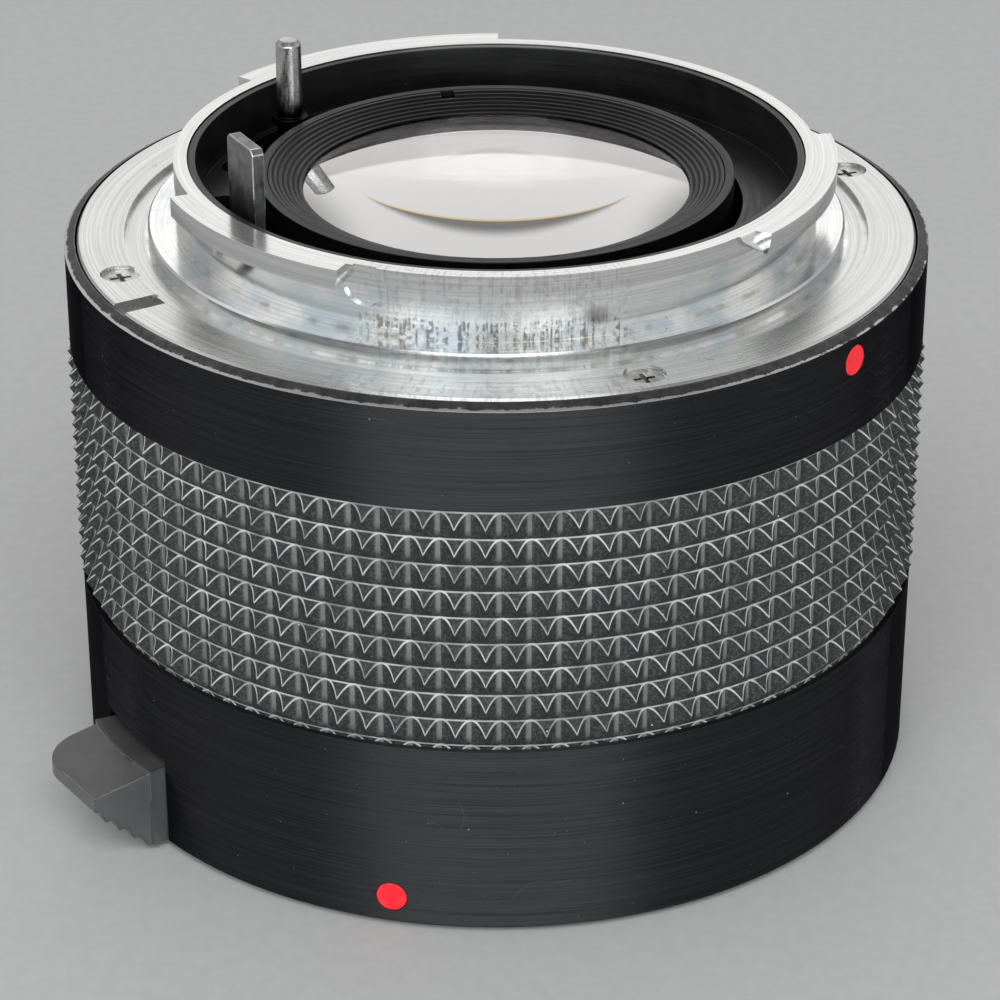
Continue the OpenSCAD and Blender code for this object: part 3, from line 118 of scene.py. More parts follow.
class Sheet:
    """The shader nodes of one material or world."""

    def __init__(self, owner: Union[bpy.types.Material, bpy.types.World], shader: str) -> None:
        """Open the nodes of a material or a world.

        Args:
            owner: The material or world.
            shader: Name of the shader node that it ends in.
        """
        owner.use_nodes = True
        self.tree = owner.node_tree
        self.shader = self.tree.nodes[shader]

    def feed(self, socket: Socket, value: Value) -> None:
        """Link a socket, or set it.

        Args:
            socket: The input that takes the value.
            value: Another node's output, or a plain value.
        """
        if isinstance(value, bpy.types.NodeSocket):
            self.tree.links.new(value, socket)
        elif socket.type == "RGBA":
            socket.default_value = (*value, 1.0)
        else:
            socket.default_value = value

    def set(self, **values: Value) -> None:
        """Set or link inputs of the shader.

        Args:
            values: Input names in lower case with underscores, and their values.
        """
        names = {item.name.lower().replace(" ", "_"): item for item in self.shader.inputs}
        for name, value in values.items():
            self.feed(names[name], value)

    def add(self, kind: str, inputs: Dict[Union[str, int], Value], **options: object) -> bpy.types.Node:
        """Add a node.

        Args:
            kind: The node's type name.
            inputs: Values for its inputs, by name or number.
            options: Properties of the node.

        Returns:
            The new node.
        """
        node = self.tree.nodes.new(kind)
        for name, option in options.items():
            setattr(node, name, option)
        for key, value in inputs.items():
            self.feed(node.inputs[key], value)
        return node

    def math(self, operation: str, first: Value, second: Value = 0.0, clamp: bool = False) -> Socket:
        """Add a math node.

        Args:
            operation: The operation's name.
            first: First number.
            second: Second number.
            clamp: Whether the result is held between 0 and 1.

        Returns:
            The result.
        """
        node = self.add("ShaderNodeMath", {0: first, 1: second}, operation=operation, use_clamp=clamp)
        return node.outputs[0]

    def times(self, first: Value, *others: Value) -> Socket:
        """Multiply numbers.

        Args:
            first: First number.
            others: The numbers that follow it.

        Returns:
            The product.
        """
        for other in others:
            first = self.math("MULTIPLY", first, other)
        return first

    def along(self, vector: Socket, way: Point) -> Socket:
        """Measure how far a vector goes in a direction.

        Args:
            vector: The vector.
            way: The direction, one unit long.

        Returns:
            The length.
        """
        node = self.add("ShaderNodeVectorMath", {0: vector, 1: way}, operation="DOT_PRODUCT")
        return node.outputs["Value"]

    def place(self) -> Place:
        """Lay out the point's position on the piece.

        Returns:
            The position with its angle and radius round the optical axis.
        """
        coords = self.add("ShaderNodeTexCoord", {}).outputs["Object"]
        scaled = self.add("ShaderNodeVectorMath", {0: coords, "Scale": 1000.0}, operation="SCALE")
        split = self.add("ShaderNodeSeparateXYZ", {0: scaled.outputs[0]}).outputs
        flat = self.add("ShaderNodeCombineXYZ", {0: split[0], 1: split[1]}).outputs[0]
        radius = self.add("ShaderNodeVectorMath", {0: flat}, operation="LENGTH").outputs["Value"]
        around = self.add("ShaderNodeVectorMath", {0: flat}, operation="NORMALIZE").outputs[0]
        angle = self.math("ARCTAN2", split[1], split[0])
        return Place(scaled.outputs[0], around, angle, radius, split[2])

    def noise(self, vector: Socket, scale: float, detail: float = 2.0, roughness: float = 0.5) -> Socket:
        """Add cloudy noise.

        Args:
            vector: Where it is read.
            scale: Size of the pattern, in cycles per millimetre.
            detail: Number of finer layers.
            roughness: Strength of the finer layers.

        Returns:
            The noise, about 0.3 to 0.7.
        """
        inputs = {"Vector": vector, "Scale": scale, "Detail": detail, "Roughness": roughness}
        return self.add("ShaderNodeTexNoise", inputs).outputs[0]

    def patches(self, place: Place, scale: float) -> Socket:
        """Add soft patches, as handling and dirt leave them.

        Args:
            place: The point's position.
            scale: Size of the pattern, in cycles per millimetre.

        Returns:
            The noise, about 0.3 to 0.7.
        """
        return self.noise(place.mm, scale, detail=4.0, roughness=0.6)

    def turned(self, place: Place, along: float, across: float, detail: float = 2.0) -> Socket:
        """Add lines that run round the axis, as a lathe tool leaves them.

        Args:
            place: The point's position.
            along: Changes of a line along one radian.
            across: Lines per millimetre.
            detail: Number of finer layers.

        Returns:
            The noise, about 0.3 to 0.7.
        """
        way = self.add("ShaderNodeVectorMath", {0: place.around, "Scale": along}, operation="SCALE")
        rise = self.times(place.height, across)
        lift = self.add("ShaderNodeCombineXYZ", {2: rise}).outputs[0]
        vector = self.add("ShaderNodeVectorMath", {0: way.outputs[0], 1: lift}, operation="ADD").outputs[0]
        inputs = {"Vector": vector, "W": self.times(place.radius, across),
                  "Scale": 1.0, "Detail": detail}
        return self.add("ShaderNodeTexNoise", inputs, noise_dimensions="4D").outputs[0]

    def stretched(self, place: Place, scale: Point) -> Socket:
        """Scale the position by a different amount along each axis.

        Args:
            place: The point's position.
            scale: The three factors.

        Returns:
            The scaled position.
        """
        return self.add("ShaderNodeVectorMath", {0: place.mm, 1: scale}, operation="MULTIPLY").outputs[0]

    def band(self, value: Value, low: float, high: float) -> Socket:
        """Rise smoothly from 0 to 1 between two levels.

        Args:
            value: The number that is read.
            low: Level that gives 0.
            high: Level that gives 1.

        Returns:
            The share.
        """
        inputs = {"Value": value, "From Min": low, "From Max": high}
        return self.add("ShaderNodeMapRange", inputs, interpolation_type="SMOOTHSTEP").outputs[0]

    def spread(self, noise: Socket) -> Socket:
        """Stretch the usual range of a noise to 0 to 1."""
        return self.band(noise, 0.3, 0.7)

    def between(self, value: Value, low: float, high: float) -> Socket:
        """Spread 0 to 1 linearly over a range.

        Args:
            value: A number from 0 to 1.
            low: Result at 0.
            high: Result at 1.

        Returns:
            The number in the range.
        """
        return self.add("ShaderNodeMapRange", {"Value": value, "To Min": low, "To Max": high}).outputs[0]

    def mix(self, share: Value, first: Value, second: Value) -> Socket:
        """Blend two colours.

        Args:
            share: 0 for the first colour, 1 for the second.
            first: First colour.
            second: Second colour.

        Returns:
            The blend.
        """
        node = self.add("ShaderNodeMix", {0: share, 6: first, 7: second}, data_type="RGBA")
        return node.outputs[2]

    def specks(self, place: Place, scale: float, rarity: float, size: float) -> Socket:
        """Scatter small round spots.

        Args:
            place: The point's position.
            scale: Cells per millimetre, each with one spot at most.
            rarity: Share of the cells that stay empty.
            size: Radius of the largest spots, in cells.

        Returns:
            1 on a spot, 0 beside it.
        """
        cells = self.add("ShaderNodeTexVoronoi", {"Vector": place.mm, "Scale": scale})
        pick = self.add("ShaderNodeSeparateColor", {0: cells.outputs["Color"]}).outputs[0]
        reach = self.times(self.math("SUBTRACT", pick, rarity, True), size / (1.0 - rarity))
        return self.band(self.math("SUBTRACT", reach, cells.outputs["Distance"]), 0.0, 0.03)

    def edge(self, place: Place, radius: float, height: float) -> Socket:
        """Measure the distance to a round edge.

        Args:
            place: The point's position.
            radius: The edge's radius.
            height: The edge's height.

        Returns:
            The distance in millimetres.
        """
        out = self.math("POWER", self.math("SUBTRACT", place.radius, radius), 2.0)
        up = self.math("POWER", self.math("SUBTRACT", place.height, height), 2.0)
        return self.math("SQRT", self.math("ADD", out, up))

    def within(self, value: Value, low: float, high: float, soft: float) -> Socket:
        """Mark a range with soft ends.

        Args:
            value: The number that is read.
            low: Start of the range.
            high: End of the range.
            soft: Width over which an end fades.

        Returns:
            1 in the range, 0 outside it.
        """
        started = self.band(value, low - soft, low)
        return self.math("SUBTRACT", started, self.band(value, high, high + soft), True)

    def falling(self, value: Value, low: float, high: float) -> Socket:
        """Fall smoothly from 1 to 0 between two levels.

        Args:
            value: The number that is read.
            low: Level that gives 1.
            high: Level that gives 0.

        Returns:
            The share.
        """
        return self.math("SUBTRACT", 1.0, self.band(value, low, high))

    def blend(self, share: Value, first: Value, second: Value) -> Socket:
        """Blend two numbers.

        Args:
            share: 0 for the first number, 1 for the second.
            first: First number.
            second: Second number.

        Returns:
            The blend.
        """
        return self.add("ShaderNodeMix", {0: share, 2: first, 3: second}, data_type="FLOAT").outputs[0]

    def around(self) -> Socket:
        """Give the direction that runs round the axis."""
        return self.add("ShaderNodeTangent", {}, direction_type="RADIAL", axis="Z").outputs[0]

    def hairs(self, place: Place, scale: float, width: float, rarity: float) -> Socket:
        """Draw a few fine scratches.

        Args:
            place: The point's position.
            scale: Size of their bends, in cycles per millimetre.
            width: Width of a scratch, as a step of the noise that it follows.
            rarity: Level of noise above which scratches show.

        Returns:
            1 on a scratch, 0 beside it.
        """
        course = self.noise(place.mm, scale)
        off = self.math("ABSOLUTE", self.math("SUBTRACT", course, 0.5))
        where = self.band(self.noise(place.mm, scale * 2.6, detail=1.0), rarity, rarity + 0.05)
        return self.times(self.falling(off, 0.0, width), where)

    def nearest(self, place: Place, edges: Sequence[Span]) -> Socket:
        """Measure the distance to the nearest of some round edges.

        Args:
            place: The point's position.
            edges: Radius and height of each edge.

        Returns:
            The distance in millimetres.
        """
        found = self.edge(place, *edges[0])
        for radius, height in edges[1:]:
            found = self.math("MINIMUM", found, self.edge(place, radius, height))
        return found

    def bump(self, height: Value, strength: float, depth: float) -> Socket:
        """Add a bump.

        Args:
            height: The relief, 0 to 1.
            strength: How far it counts.
            depth: Depth of the relief in millimetres.

        Returns:
            The bent normal.
        """
        inputs = {"Height": height, "Strength": strength, "Distance": depth * MM}
        return self.add("ShaderNodeBump", inputs).outputs[0]


@dataclass(frozen=True)
class GripPattern:
    """Rows and columns of the grip's pyramids, in millimetres."""

    columns: int = 95
    rows: int = 9
    pitch: float = 1.97
    base_z: float = 14.55
    border: float = 0.3
    power: float = 2.0

    @property
    def first_row(self) -> float:
        """Height of the lowest row's foot."""
        return self.base_z + self.border

    @property
    def top_z(self) -> float:
        """Height of the ring's upper edge."""
        return self.first_row + self.rows * self.pitch + self.border


MADE: Dict[str, bpy.types.Material] = {}


@dataclass(frozen=True)
class Finish:
    """A surface finish."""

    name: str

    def material(self) -> bpy.types.Material:
        """Give the finish's material, made once.

        Returns:
            The material.
        """
        if self.name not in MADE:
            MADE[self.name] = bpy.data.materials.new(self.name)
            self.lay(Sheet(MADE[self.name], "Principled BSDF"))
        return MADE[self.name]

    def lay(self, sheet: Sheet) -> None:
        """Lay the finish's nodes, which each kind does in its own way."""
        raise NotImplementedError


@dataclass(frozen=True)
class AnodisedBlack(Finish):
    """Satin black anodised aluminium with turning lines, dust and fine scratches."""

    dark: Colour = (0.030, 0.0305, 0.0325)
    light: Colour = (0.058, 0.059, 0.062)
    grazing: Colour = (0.25, 0.25, 0.26)
    dust_and_painted_light: Colour = (0.32, 0.315, 0.305)
    scratch: Colour = (0.12, 0.12, 0.122)
    dust_and_painted_light_share: float = 0.6
    scratch_share: float = 0.4
    rough: Span = (0.46, 0.56)
    uneven: Span = (-0.05, 0.07)
    stretch: float = 0.96
    quarter_turn: float = 0.25

    def lay(self, sheet: Sheet) -> None:
        """Lay turning lines, dust specks and scratches.

        Args:
            sheet: The material's nodes.
        """
        place = sheet.place()
        lines = sheet.turned(place, along=2.0, across=14.0)
        patches = sheet.patches(place, scale=0.16)
        base = sheet.mix(sheet.spread(lines), self.dark, self.light)
        scratches = sheet.hairs(place, scale=0.07, width=0.0012, rarity=0.62)
        base = sheet.mix(sheet.times(scratches, self.scratch_share), base, self.scratch)
        coarse = sheet.specks(place, scale=1.1, rarity=0.80, size=0.09)
        fine = sheet.specks(place, scale=2.6, rarity=0.72, size=0.11)
        specks = sheet.times(sheet.math("MAXIMUM", coarse, fine), self.dust_and_painted_light_share)
        base = sheet.mix(specks, base, self.dust_and_painted_light)
        roughness = sheet.between(sheet.spread(lines), *self.rough)
        roughness = sheet.math("ADD", roughness, sheet.between(patches, *self.uneven))
        sheet.set(base_color=base, roughness=roughness, normal=sheet.bump(lines, strength=0.1, depth=0.008))
        sheet.set(metallic=sheet.math("SUBTRACT", 1.0, specks), specular_tint=self.grazing)
        sheet.set(anisotropic=self.stretch, anisotropic_rotation=self.quarter_turn, tangent=sheet.around())


@dataclass(frozen=True)
class RubbedBlack(Finish):
    """Black edges rubbed to the bare metal in chips."""

    dark: Colour = (0.075, 0.075, 0.077)
    light: Colour = (0.15, 0.15, 0.153)
    bare: Colour = (0.80, 0.80, 0.81)
    scale: float = 1.0
    share: Span = (0.68, 0.76)
    side: Point = (-0.5, -0.87, 0.0)
    favour: float = 0.2
    height: Span = (39.6, 40.25)
    corner: Span = (31.0, 40.1)
    reach: Span = (0.1, 0.3)
    pull: float = 0.29
    rough: Span = (0.40, 0.32)

    def lay(self, sheet: Sheet) -> None:
        """Lay the black with chips, more of them near the corner and on the side that is handled.

        Args:
            sheet: The material's nodes.
        """
        place = sheet.place()
        chips = sheet.noise(place.mm, self.scale, detail=5.0, roughness=0.7)
        facing = sheet.band(sheet.along(place.around, self.side), low=-0.4, high=0.7)
        lean = sheet.between(facing, -self.favour / 2, self.favour / 2)
        near = sheet.falling(sheet.edge(place, *self.corner), *self.reach)
        lean = sheet.math("ADD", lean, sheet.between(near, 0.0, self.pull))
        worn_and_painted_light = sheet.within(place.height, *self.height, soft=0.06)
        bare = sheet.times(sheet.band(sheet.math("ADD", chips, lean), *self.share), worn_and_painted_light)
        satin = sheet.mix(sheet.spread(chips), self.dark, self.light)
        sheet.set(base_color=sheet.mix(bare, satin, self.bare), metallic=1.0,
                  roughness=sheet.between(bare, *self.rough),
                  normal=sheet.bump(chips, strength=0.2, depth=0.02))


@dataclass(frozen=True)
class GripRubber(Finish):
    """Moulded rubber with painted highlights along its ridges, a painted light strip in each groove, pale
    specks and fine mould lines.
    """

    base: Colour = (0.016, 0.0163, 0.017)
    # Pale colour of the painted ridge highlights and of the pale specks.
    worn_and_painted_light: Colour = (0.56, 0.56, 0.555)
    grey: Colour = (0.062, 0.0625, 0.064)
    # Colour of the painted light strip in the grooves.
    dust_and_painted_light: Colour = (0.26, 0.26, 0.258)
    dust_and_painted_light_share: float = 0.8
    valley_share: float = 0.9
    rough: Span = (0.42, 0.62)
    gloss: float = 0.3
    mould_lines: Point = (2.0, 2.0, 16.0)
    pattern: GripPattern = GripPattern()

    def lay(self, sheet: Sheet) -> None:
        """Lay the rubber, the painted highlights along its ridges and the painted light strip in its grooves.

        Args:
            sheet: The material's nodes.
        """
        place = sheet.place()
        turn = sheet.times(place.angle, self.pattern.columns / math.tau)
        foot = sheet.math("SUBTRACT", place.height, self.pattern.first_row)
        rise = sheet.math("DIVIDE", foot, self.pattern.pitch)
        patches = sheet.patches(place, scale=0.45)
        mottle = sheet.noise(place.mm, scale=5.0, detail=3.0, roughness=0.7)
        base = sheet.mix(sheet.band(mottle, 0.42, 0.68), self.base, self.grey)
        # Painted light: a light strip on one side of each groove, its lit wall.
        lit_strip_share = sheet.times(self.strip(sheet, turn, rise, patches), self.dust_and_painted_light_share)
        base = sheet.mix(lit_strip_share, base, self.dust_and_painted_light)
        # Painted highlights: pale lines along the upper ridges and the edges between rows.
        base = sheet.mix(self.ridges(sheet, turn, rise, patches), base, self.worn_and_painted_light)
        base = sheet.mix(sheet.specks(place, scale=1.7, rarity=0.86, size=0.12), base, self.worn_and_painted_light)
        grain = sheet.noise(sheet.stretched(place, self.mould_lines), scale=1.0, detail=3.0)
        sheet.set(base_color=base, roughness=sheet.between(patches, *self.rough),
                  normal=sheet.bump(grain, strength=0.35, depth=0.03), specular_ior_level=self.gloss)

    def ridges(self, sheet: Sheet, turn: Socket, rise: Socket, patches: Socket) -> Socket:
        """Mark pale lines along the ridges between a groove and a row's upper slope, and along the edges
        between rows: painted highlights.

        Args:
            sheet: The material's nodes.
            turn: The way round the axis, in columns.
            rise: The way up the ring, in rows.
            patches: Noise that breaks up the painted highlights.

        Returns:
            The share of the painted highlight.
        """
        across, row = (sheet.times(sheet.math("PINGPONG", way, 0.5), 2.0) for way in (turn, rise))
        groove = sheet.math("POWER", across, self.pattern.power)
        upper = sheet.band(sheet.math("FRACT", rise), 0.46, 0.56)
        apart = sheet.math("ABSOLUTE", sheet.math("SUBTRACT", groove, row))
        ridge = sheet.times(sheet.falling(apart, 0.03, 0.14), upper)
        valley = sheet.times(sheet.falling(row, 0.02, 0.10), self.valley_share)
        highlight_breakup = sheet.between(sheet.band(patches, 0.32, 0.66), 0.4, 1.0)
        return sheet.times(sheet.math("MAXIMUM", ridge, valley), highlight_breakup)

    def strip(self, sheet: Sheet, turn: Socket, rise: Socket, patches: Socket) -> Socket:
        """Mark the light strip on one side of each groove, where its wall faces the light: painted light.

        Args:
            sheet: The material's nodes.
            turn: The way round the axis, in columns.
            rise: The way up the ring, in rows.
            patches: Noise that the strip follows.

        Returns:
            The share of the painted light strip.
        """
        aside = sheet.math("SUBTRACT", sheet.math("FRACT", sheet.math("ADD", turn, 0.5)), 0.5)
        return sheet.times(sheet.band(aside, -0.22, -0.08), sheet.falling(aside, -0.01, 0.03),
                           sheet.between(patches, 0.3, 1.0),
                           sheet.band(sheet.math("FRACT", rise), 0.05, 0.4))


@dataclass(frozen=True)
class PlatedMetal(Finish):
    """Plated metal: satin on the flange, brighter and chattered on the tube, stained in the groove, with
    painted dark reflections on its front.
    """

    clean: Colour = (0.72, 0.725, 0.715)
    dull: Colour = (0.55, 0.555, 0.545)
    # Colour of the painted bluish reflection on the tube wall.
    cold: Colour = (0.52, 0.59, 0.65)
    white: Colour = (0.88, 0.885, 0.875)
    dark: Colour = (0.09, 0.088, 0.084)
    # The side that faces the front, where the painted dark reflections go.
    front: Point = (0.235, -0.972, 0.0)
    stain: Colour = (0.36, 0.33, 0.26)
    tube: Span = (21.9, 25.2)
    lug_z: Span = (44.6, 44.7)
    dark_reflection_z: Span = (41.5, 42.8)
    face_r: Span = (27.0, 27.4)
    groove: Tuple[Span, ...] = ((25.0, 40.2), (26.7, 40.2), (23.0, 41.4))
    satin: Span = (0.22, 0.32)
    bright: Span = (0.10, 0.20)
    uneven: Span = (-0.03, 0.06)
    soil_share: float = 0.55
    scratch_share: float = 0.5

    def lay(self, sheet: Sheet) -> None:
        """Lay turning lines, chatter, scratches, stains and painted dark reflections.

        Args:
            sheet: The material's nodes.
        """
        place = sheet.place()
        lines = sheet.turned(place, along=1.6, across=9.0, detail=3.0)
        fine = sheet.turned(place, along=0.8, across=30.0, detail=1.0)
        chatter = sheet.turned(place, along=105.0, across=0.3, detail=1.0)
        patches = sheet.patches(place, scale=0.22)
        tube = sheet.within(place.radius, *self.tube, soft=0.1)
        wall = sheet.times(tube, sheet.falling(place.height, *self.lug_z))
        base = sheet.mix(sheet.spread(lines), self.dull, self.clean)
        streaks = sheet.times(sheet.band(lines, 0.36, 0.56), sheet.between(chatter, 0.6, 1.2))
        base = sheet.mix(wall, base, sheet.mix(streaks, self.clean, self.white))
        # Painted bluish reflection: bluish patches on the tube wall.
        cold = sheet.times(wall, sheet.between(sheet.band(patches, 0.45, 0.6), 0.0, 0.5))
        base = sheet.mix(cold, base, self.cold)
        # Painted dark reflections in dashes on the front of the tube and the flange face.
        base = sheet.mix(self.marks(sheet, place, tube, chatter, lines), base, self.dark)
        dirt = sheet.band(sheet.patches(place, scale=0.5), 0.42, 0.72)
        soil = sheet.times(sheet.falling(sheet.nearest(place, self.groove), 0.03, 0.6), dirt)
        base = sheet.mix(sheet.times(soil, self.soil_share), base, self.stain)
        scratches = sheet.hairs(place, scale=0.3, width=0.004, rarity=0.6)
        base = sheet.mix(sheet.times(scratches, self.scratch_share), base, self.dark)
        grain = sheet.spread(fine)
        roughness = sheet.blend(tube, sheet.between(grain, *self.satin), sheet.between(grain, *self.bright))
        roughness = sheet.math("ADD", roughness, sheet.between(patches, *self.uneven))
        relief = sheet.blend(tube, sheet.times(fine, 0.4), sheet.math("ADD", chatter, lines))
        sheet.set(base_color=base, roughness=roughness, metallic=1.0,
                  normal=sheet.bump(relief, strength=0.2, depth=0.012))

    def marks(self, sheet: Sheet, place: Place, tube: Socket, chatter: Socket, lines: Socket) -> Socket:
        """Mark dark dashes in the chatter's pattern on the front of the tube and of the flange face: painted
        dark reflections.

        Args:
            sheet: The material's nodes.
            place: The point's position.
            tube: 1 on the tube.
            chatter: Noise that changes round the axis.
            lines: Noise of the turning lines.

        Returns:
            The share of the painted dark reflection.
        """
        ahead = sheet.band(sheet.along(place.around, self.front), 0.90, 0.94)
        breaks = sheet.turned(place, along=60.0, across=2.6)
        dashes = sheet.times(sheet.band(chatter, 0.42, 0.60), sheet.band(breaks, 0.40, 0.58),
                             sheet.band(lines, 0.30, 0.42))
        low = sheet.within(place.height, *self.dark_reflection_z, soft=0.12)
        deep = sheet.times(tube, sheet.between(low, 0.25, 0.75))
        face = sheet.times(sheet.band(place.radius, *self.face_r), 0.3)
        return sheet.times(dashes, ahead, sheet.math("ADD", deep, face))


@dataclass(frozen=True)
class MattBlack(Finish):
    """Black paint or black oxide on metal, with fine lines and a little dust."""

    dark: Colour = (0.004, 0.004, 0.0045)
    light: Colour = (0.009, 0.009, 0.0095)
    dust_and_painted_light: Colour = (0.20, 0.195, 0.19)
    rough: Span = (0.30, 0.44)
    gloss: float = 0.35
    dust_and_painted_light_share: float = 0.6

    def lay(self, sheet: Sheet) -> None:
        """Lay the paint with its lines and dust.

        Args:
            sheet: The material's nodes.
        """
        place = sheet.place()
        lines = sheet.turned(place, along=3.0, across=5.0, detail=3.0)
        patches = sheet.patches(place, scale=0.35)
        base = sheet.mix(sheet.band(patches, 0.3, 0.75), self.dark, self.light)
        specks = sheet.specks(place, scale=1.3, rarity=0.90, size=0.08)
        base = sheet.mix(sheet.times(specks, self.dust_and_painted_light_share), base, self.dust_and_painted_light)
        sheet.set(base_color=base, roughness=sheet.between(sheet.spread(lines), *self.rough),
                  normal=sheet.bump(lines, strength=0.2, depth=0.012), specular_ior_level=self.gloss)


@dataclass(frozen=True)
class LensGlass(Finish):
    """Optical glass with a trace of haze, coated or plain."""

    tint: Colour = (0.97, 0.98, 0.985)
    index: float = 1.8
    coat: float = 0.0
    coat_index: float = 2.4
    coat_colour: Colour = (1.0, 0.97, 0.965)
    coat_rough: float = 0.005
    rough: Span = (0.0, 0.012)
    mirror: float = 0.0

    def lay(self, sheet: Sheet) -> None:
        """Lay clear glass with a trace of haze, and a coat where it has one.

        Args:
            sheet: The material's nodes.
        """
        place = sheet.place()
        haze = sheet.band(sheet.patches(place, scale=0.5), 0.4, 0.8)
        sheet.set(base_color=self.tint, ior=self.index, transmission_weight=1.0,
                  roughness=sheet.between(haze, *self.rough), metallic=self.mirror)
        if self.coat:
            sheet.set(coat_weight=self.coat, coat_roughness=self.coat_rough, coat_ior=self.coat_index,
                      coat_tint=self.coat_colour)


@dataclass(frozen=True)
class WorkedSteel(Finish):
    """Milled or drawn metal with grain lines and rubbed patches."""

    clean: Colour = (0.56, 0.55, 0.54)
    dull: Colour = (0.30, 0.295, 0.29)
    rough: Span = (0.24, 0.42)
    grain: Point = (6.0, 6.0, 1.2)
    shaded_foot: Span = (0.0, 0.0)
    ragged: Span = (-0.6, 0.6)
    black: Colour = (0.012, 0.012, 0.012)

    def lay(self, sheet: Sheet) -> None:
        """Lay the metal with its grain, and painted shade that turns its foot black, where it is given one.

        Args:
            sheet: The material's nodes.
        """
        place = sheet.place()
        grain = sheet.noise(sheet.stretched(place, self.grain), scale=1.0, detail=4.0, roughness=0.6)
        patches = sheet.patches(place, scale=0.7)
        base = sheet.mix(sheet.band(patches, 0.32, 0.68), self.dull, self.clean)
        if self.shaded_foot[1]:
            # Painted shade: black over the foot, with a ragged upper edge.
            worn_and_painted_light = sheet.math("ADD", place.height, sheet.between(patches, *self.ragged))
            base = sheet.mix(sheet.falling(worn_and_painted_light, *self.shaded_foot), base, self.black)
        sheet.set(base_color=base, roughness=sheet.between(sheet.spread(grain), *self.rough), metallic=1.0,
                  normal=sheet.bump(grain, strength=0.15, depth=0.01))


@dataclass(frozen=True)
class DotPaint(Finish):
    """Red paint in a drilled dot, a little uneven."""

    base: Colour = (0.92, 0.006, 0.018)
    pale: Colour = (1.0, 0.03, 0.045)
    rough: Span = (0.35, 0.6)

    def lay(self, sheet: Sheet) -> None:
        """Lay the paint with its paler patches.

        Args:
            sheet: The material's nodes.
        """
        place = sheet.place()
        patches = sheet.noise(place.mm, scale=1.6, detail=3.0, roughness=0.6)
        base = sheet.mix(sheet.band(patches, 0.45, 0.75), self.base, self.pale)
        sheet.set(base_color=base, roughness=sheet.between(patches, *self.rough),
                  normal=sheet.bump(patches, strength=0.3, depth=0.05))


@dataclass(frozen=True)
class PaleFloor(Finish):
    """Plain pale paper."""

    base: Colour = (0.60, 0.60, 0.60)
    fleck: Colour = (0.57, 0.57, 0.57)
    rough: float = 0.85

    def lay(self, sheet: Sheet) -> None:
        """Lay the paper with its faint grain.

        Args:
            sheet: The material's nodes.
        """
        grain = sheet.patches(sheet.place(), scale=0.8)
        sheet.set(base_color=sheet.mix(sheet.spread(grain), self.base, self.fleck), roughness=self.rough)


ANODISED = AnodisedBlack("anodised_black")
RUBBED_RIM = RubbedBlack("rubbed_rim")
RUBBED_LEVER = RubbedBlack("rubbed_lever", dark=(0.08, 0.08, 0.081), light=(0.20, 0.20, 0.202),
                           bare=(0.34, 0.34, 0.345), scale=0.5, share=(0.46, 0.70), height=(4.2, 6.6),
                           pull=0.0)
RUBBER = GripRubber("moulded_rubber")
PLATED = PlatedMetal("satin_plating")
LEVER_BLACK = MattBlack("lever_black", dark=(0.056, 0.056, 0.058), light=(0.080, 0.080, 0.082),
                        rough=(0.30, 0.38), gloss=0.9)
PLATED_EDGE = WorkedSteel("polished_plating", clean=(0.86, 0.86, 0.87), dull=(0.70, 0.70, 0.71),
                          rough=(0.10, 0.20))
SHIELD = MattBlack("shield_paint")
CELL = MattBlack("cell_paint", dark=(0.003, 0.003, 0.0032), light=(0.006, 0.006, 0.0062),
                 rough=(0.28, 0.40), gloss=0.2)
GLASS = LensGlass("clear_glass")
COATED = LensGlass("coated_glass", index=2.1, coat=1.0, mirror=0.3)
SCREW = WorkedSteel("screw_head", clean=(0.62, 0.61, 0.60), dull=(0.34, 0.33, 0.32),
                    grain=(5.0, 5.0, 5.0))
DARK_STEEL = WorkedSteel("dark_steel", clean=(0.30, 0.30, 0.305), dull=(0.17, 0.17, 0.175),
                         rough=(0.34, 0.50))
# The pin's lower part is painted black: painted shade and dark reflection.
PIN_STEEL = WorkedSteel("pin_steel", clean=(0.60, 0.595, 0.585), dull=(0.38, 0.375, 0.37),
                        rough=(0.22, 0.36), shaded_foot=(44.4, 45.8))
BRIGHT_STEEL = WorkedSteel("bright_steel", clean=(0.72, 0.72, 0.72), dull=(0.50, 0.50, 0.50),
                           rough=(0.18, 0.30))
SPRING = WorkedSteel("drawn_spring", clean=(0.50, 0.50, 0.50))
BRASS = WorkedSteel("turned_brass", clean=(0.62, 0.46, 0.22), dull=(0.42, 0.30, 0.13))
RED = DotPaint("dot_paint")
FLOOR = PaleFloor("pale_floor")


def new_object(name: str, points: Sequence[Sequence[float]], faces: Sequence[Sequence[int]],
               sharp: float = 30.0) -> bpy.types.Object:
    """Make a mesh object with smooth shading up to an angle.

    Args:
        name: Name of the piece.
        points: Points in metres.
        faces: Point numbers of each face.
        sharp: Edges that turn more than this, in degrees, stay sharp.

    Returns:
        The new object, in the scene.
    """
    mesh = bpy.data.meshes.new(name)
    mesh.from_pydata(points, [], faces)
    mesh.polygons.foreach_set("use_smooth", [True] * len(mesh.polygons))
    mesh.set_sharp_from_angle(angle=math.radians(sharp))
    mesh.update()
    piece = bpy.data.objects.new(name, mesh)
    bpy.context.scene.collection.objects.link(piece)
    return piece


def finished(name: str, solid: bmesh.types.BMesh, sharp: float) -> bpy.types.Object:
    """Turn a mesh in work into an object.

    Args:
        name: Name of the piece.
        solid: The mesh in work, which is freed.
        sharp: Edges that turn more than this, in degrees, stay sharp.

    Returns:
        The new object.
    """
    solid.verts.index_update()
    points = [tuple(vert.co) for vert in solid.verts]
    faces = [[vert.index for vert in face.verts] for face in solid.faces]
    solid.free()
    return new_object(name, points, faces, sharp)


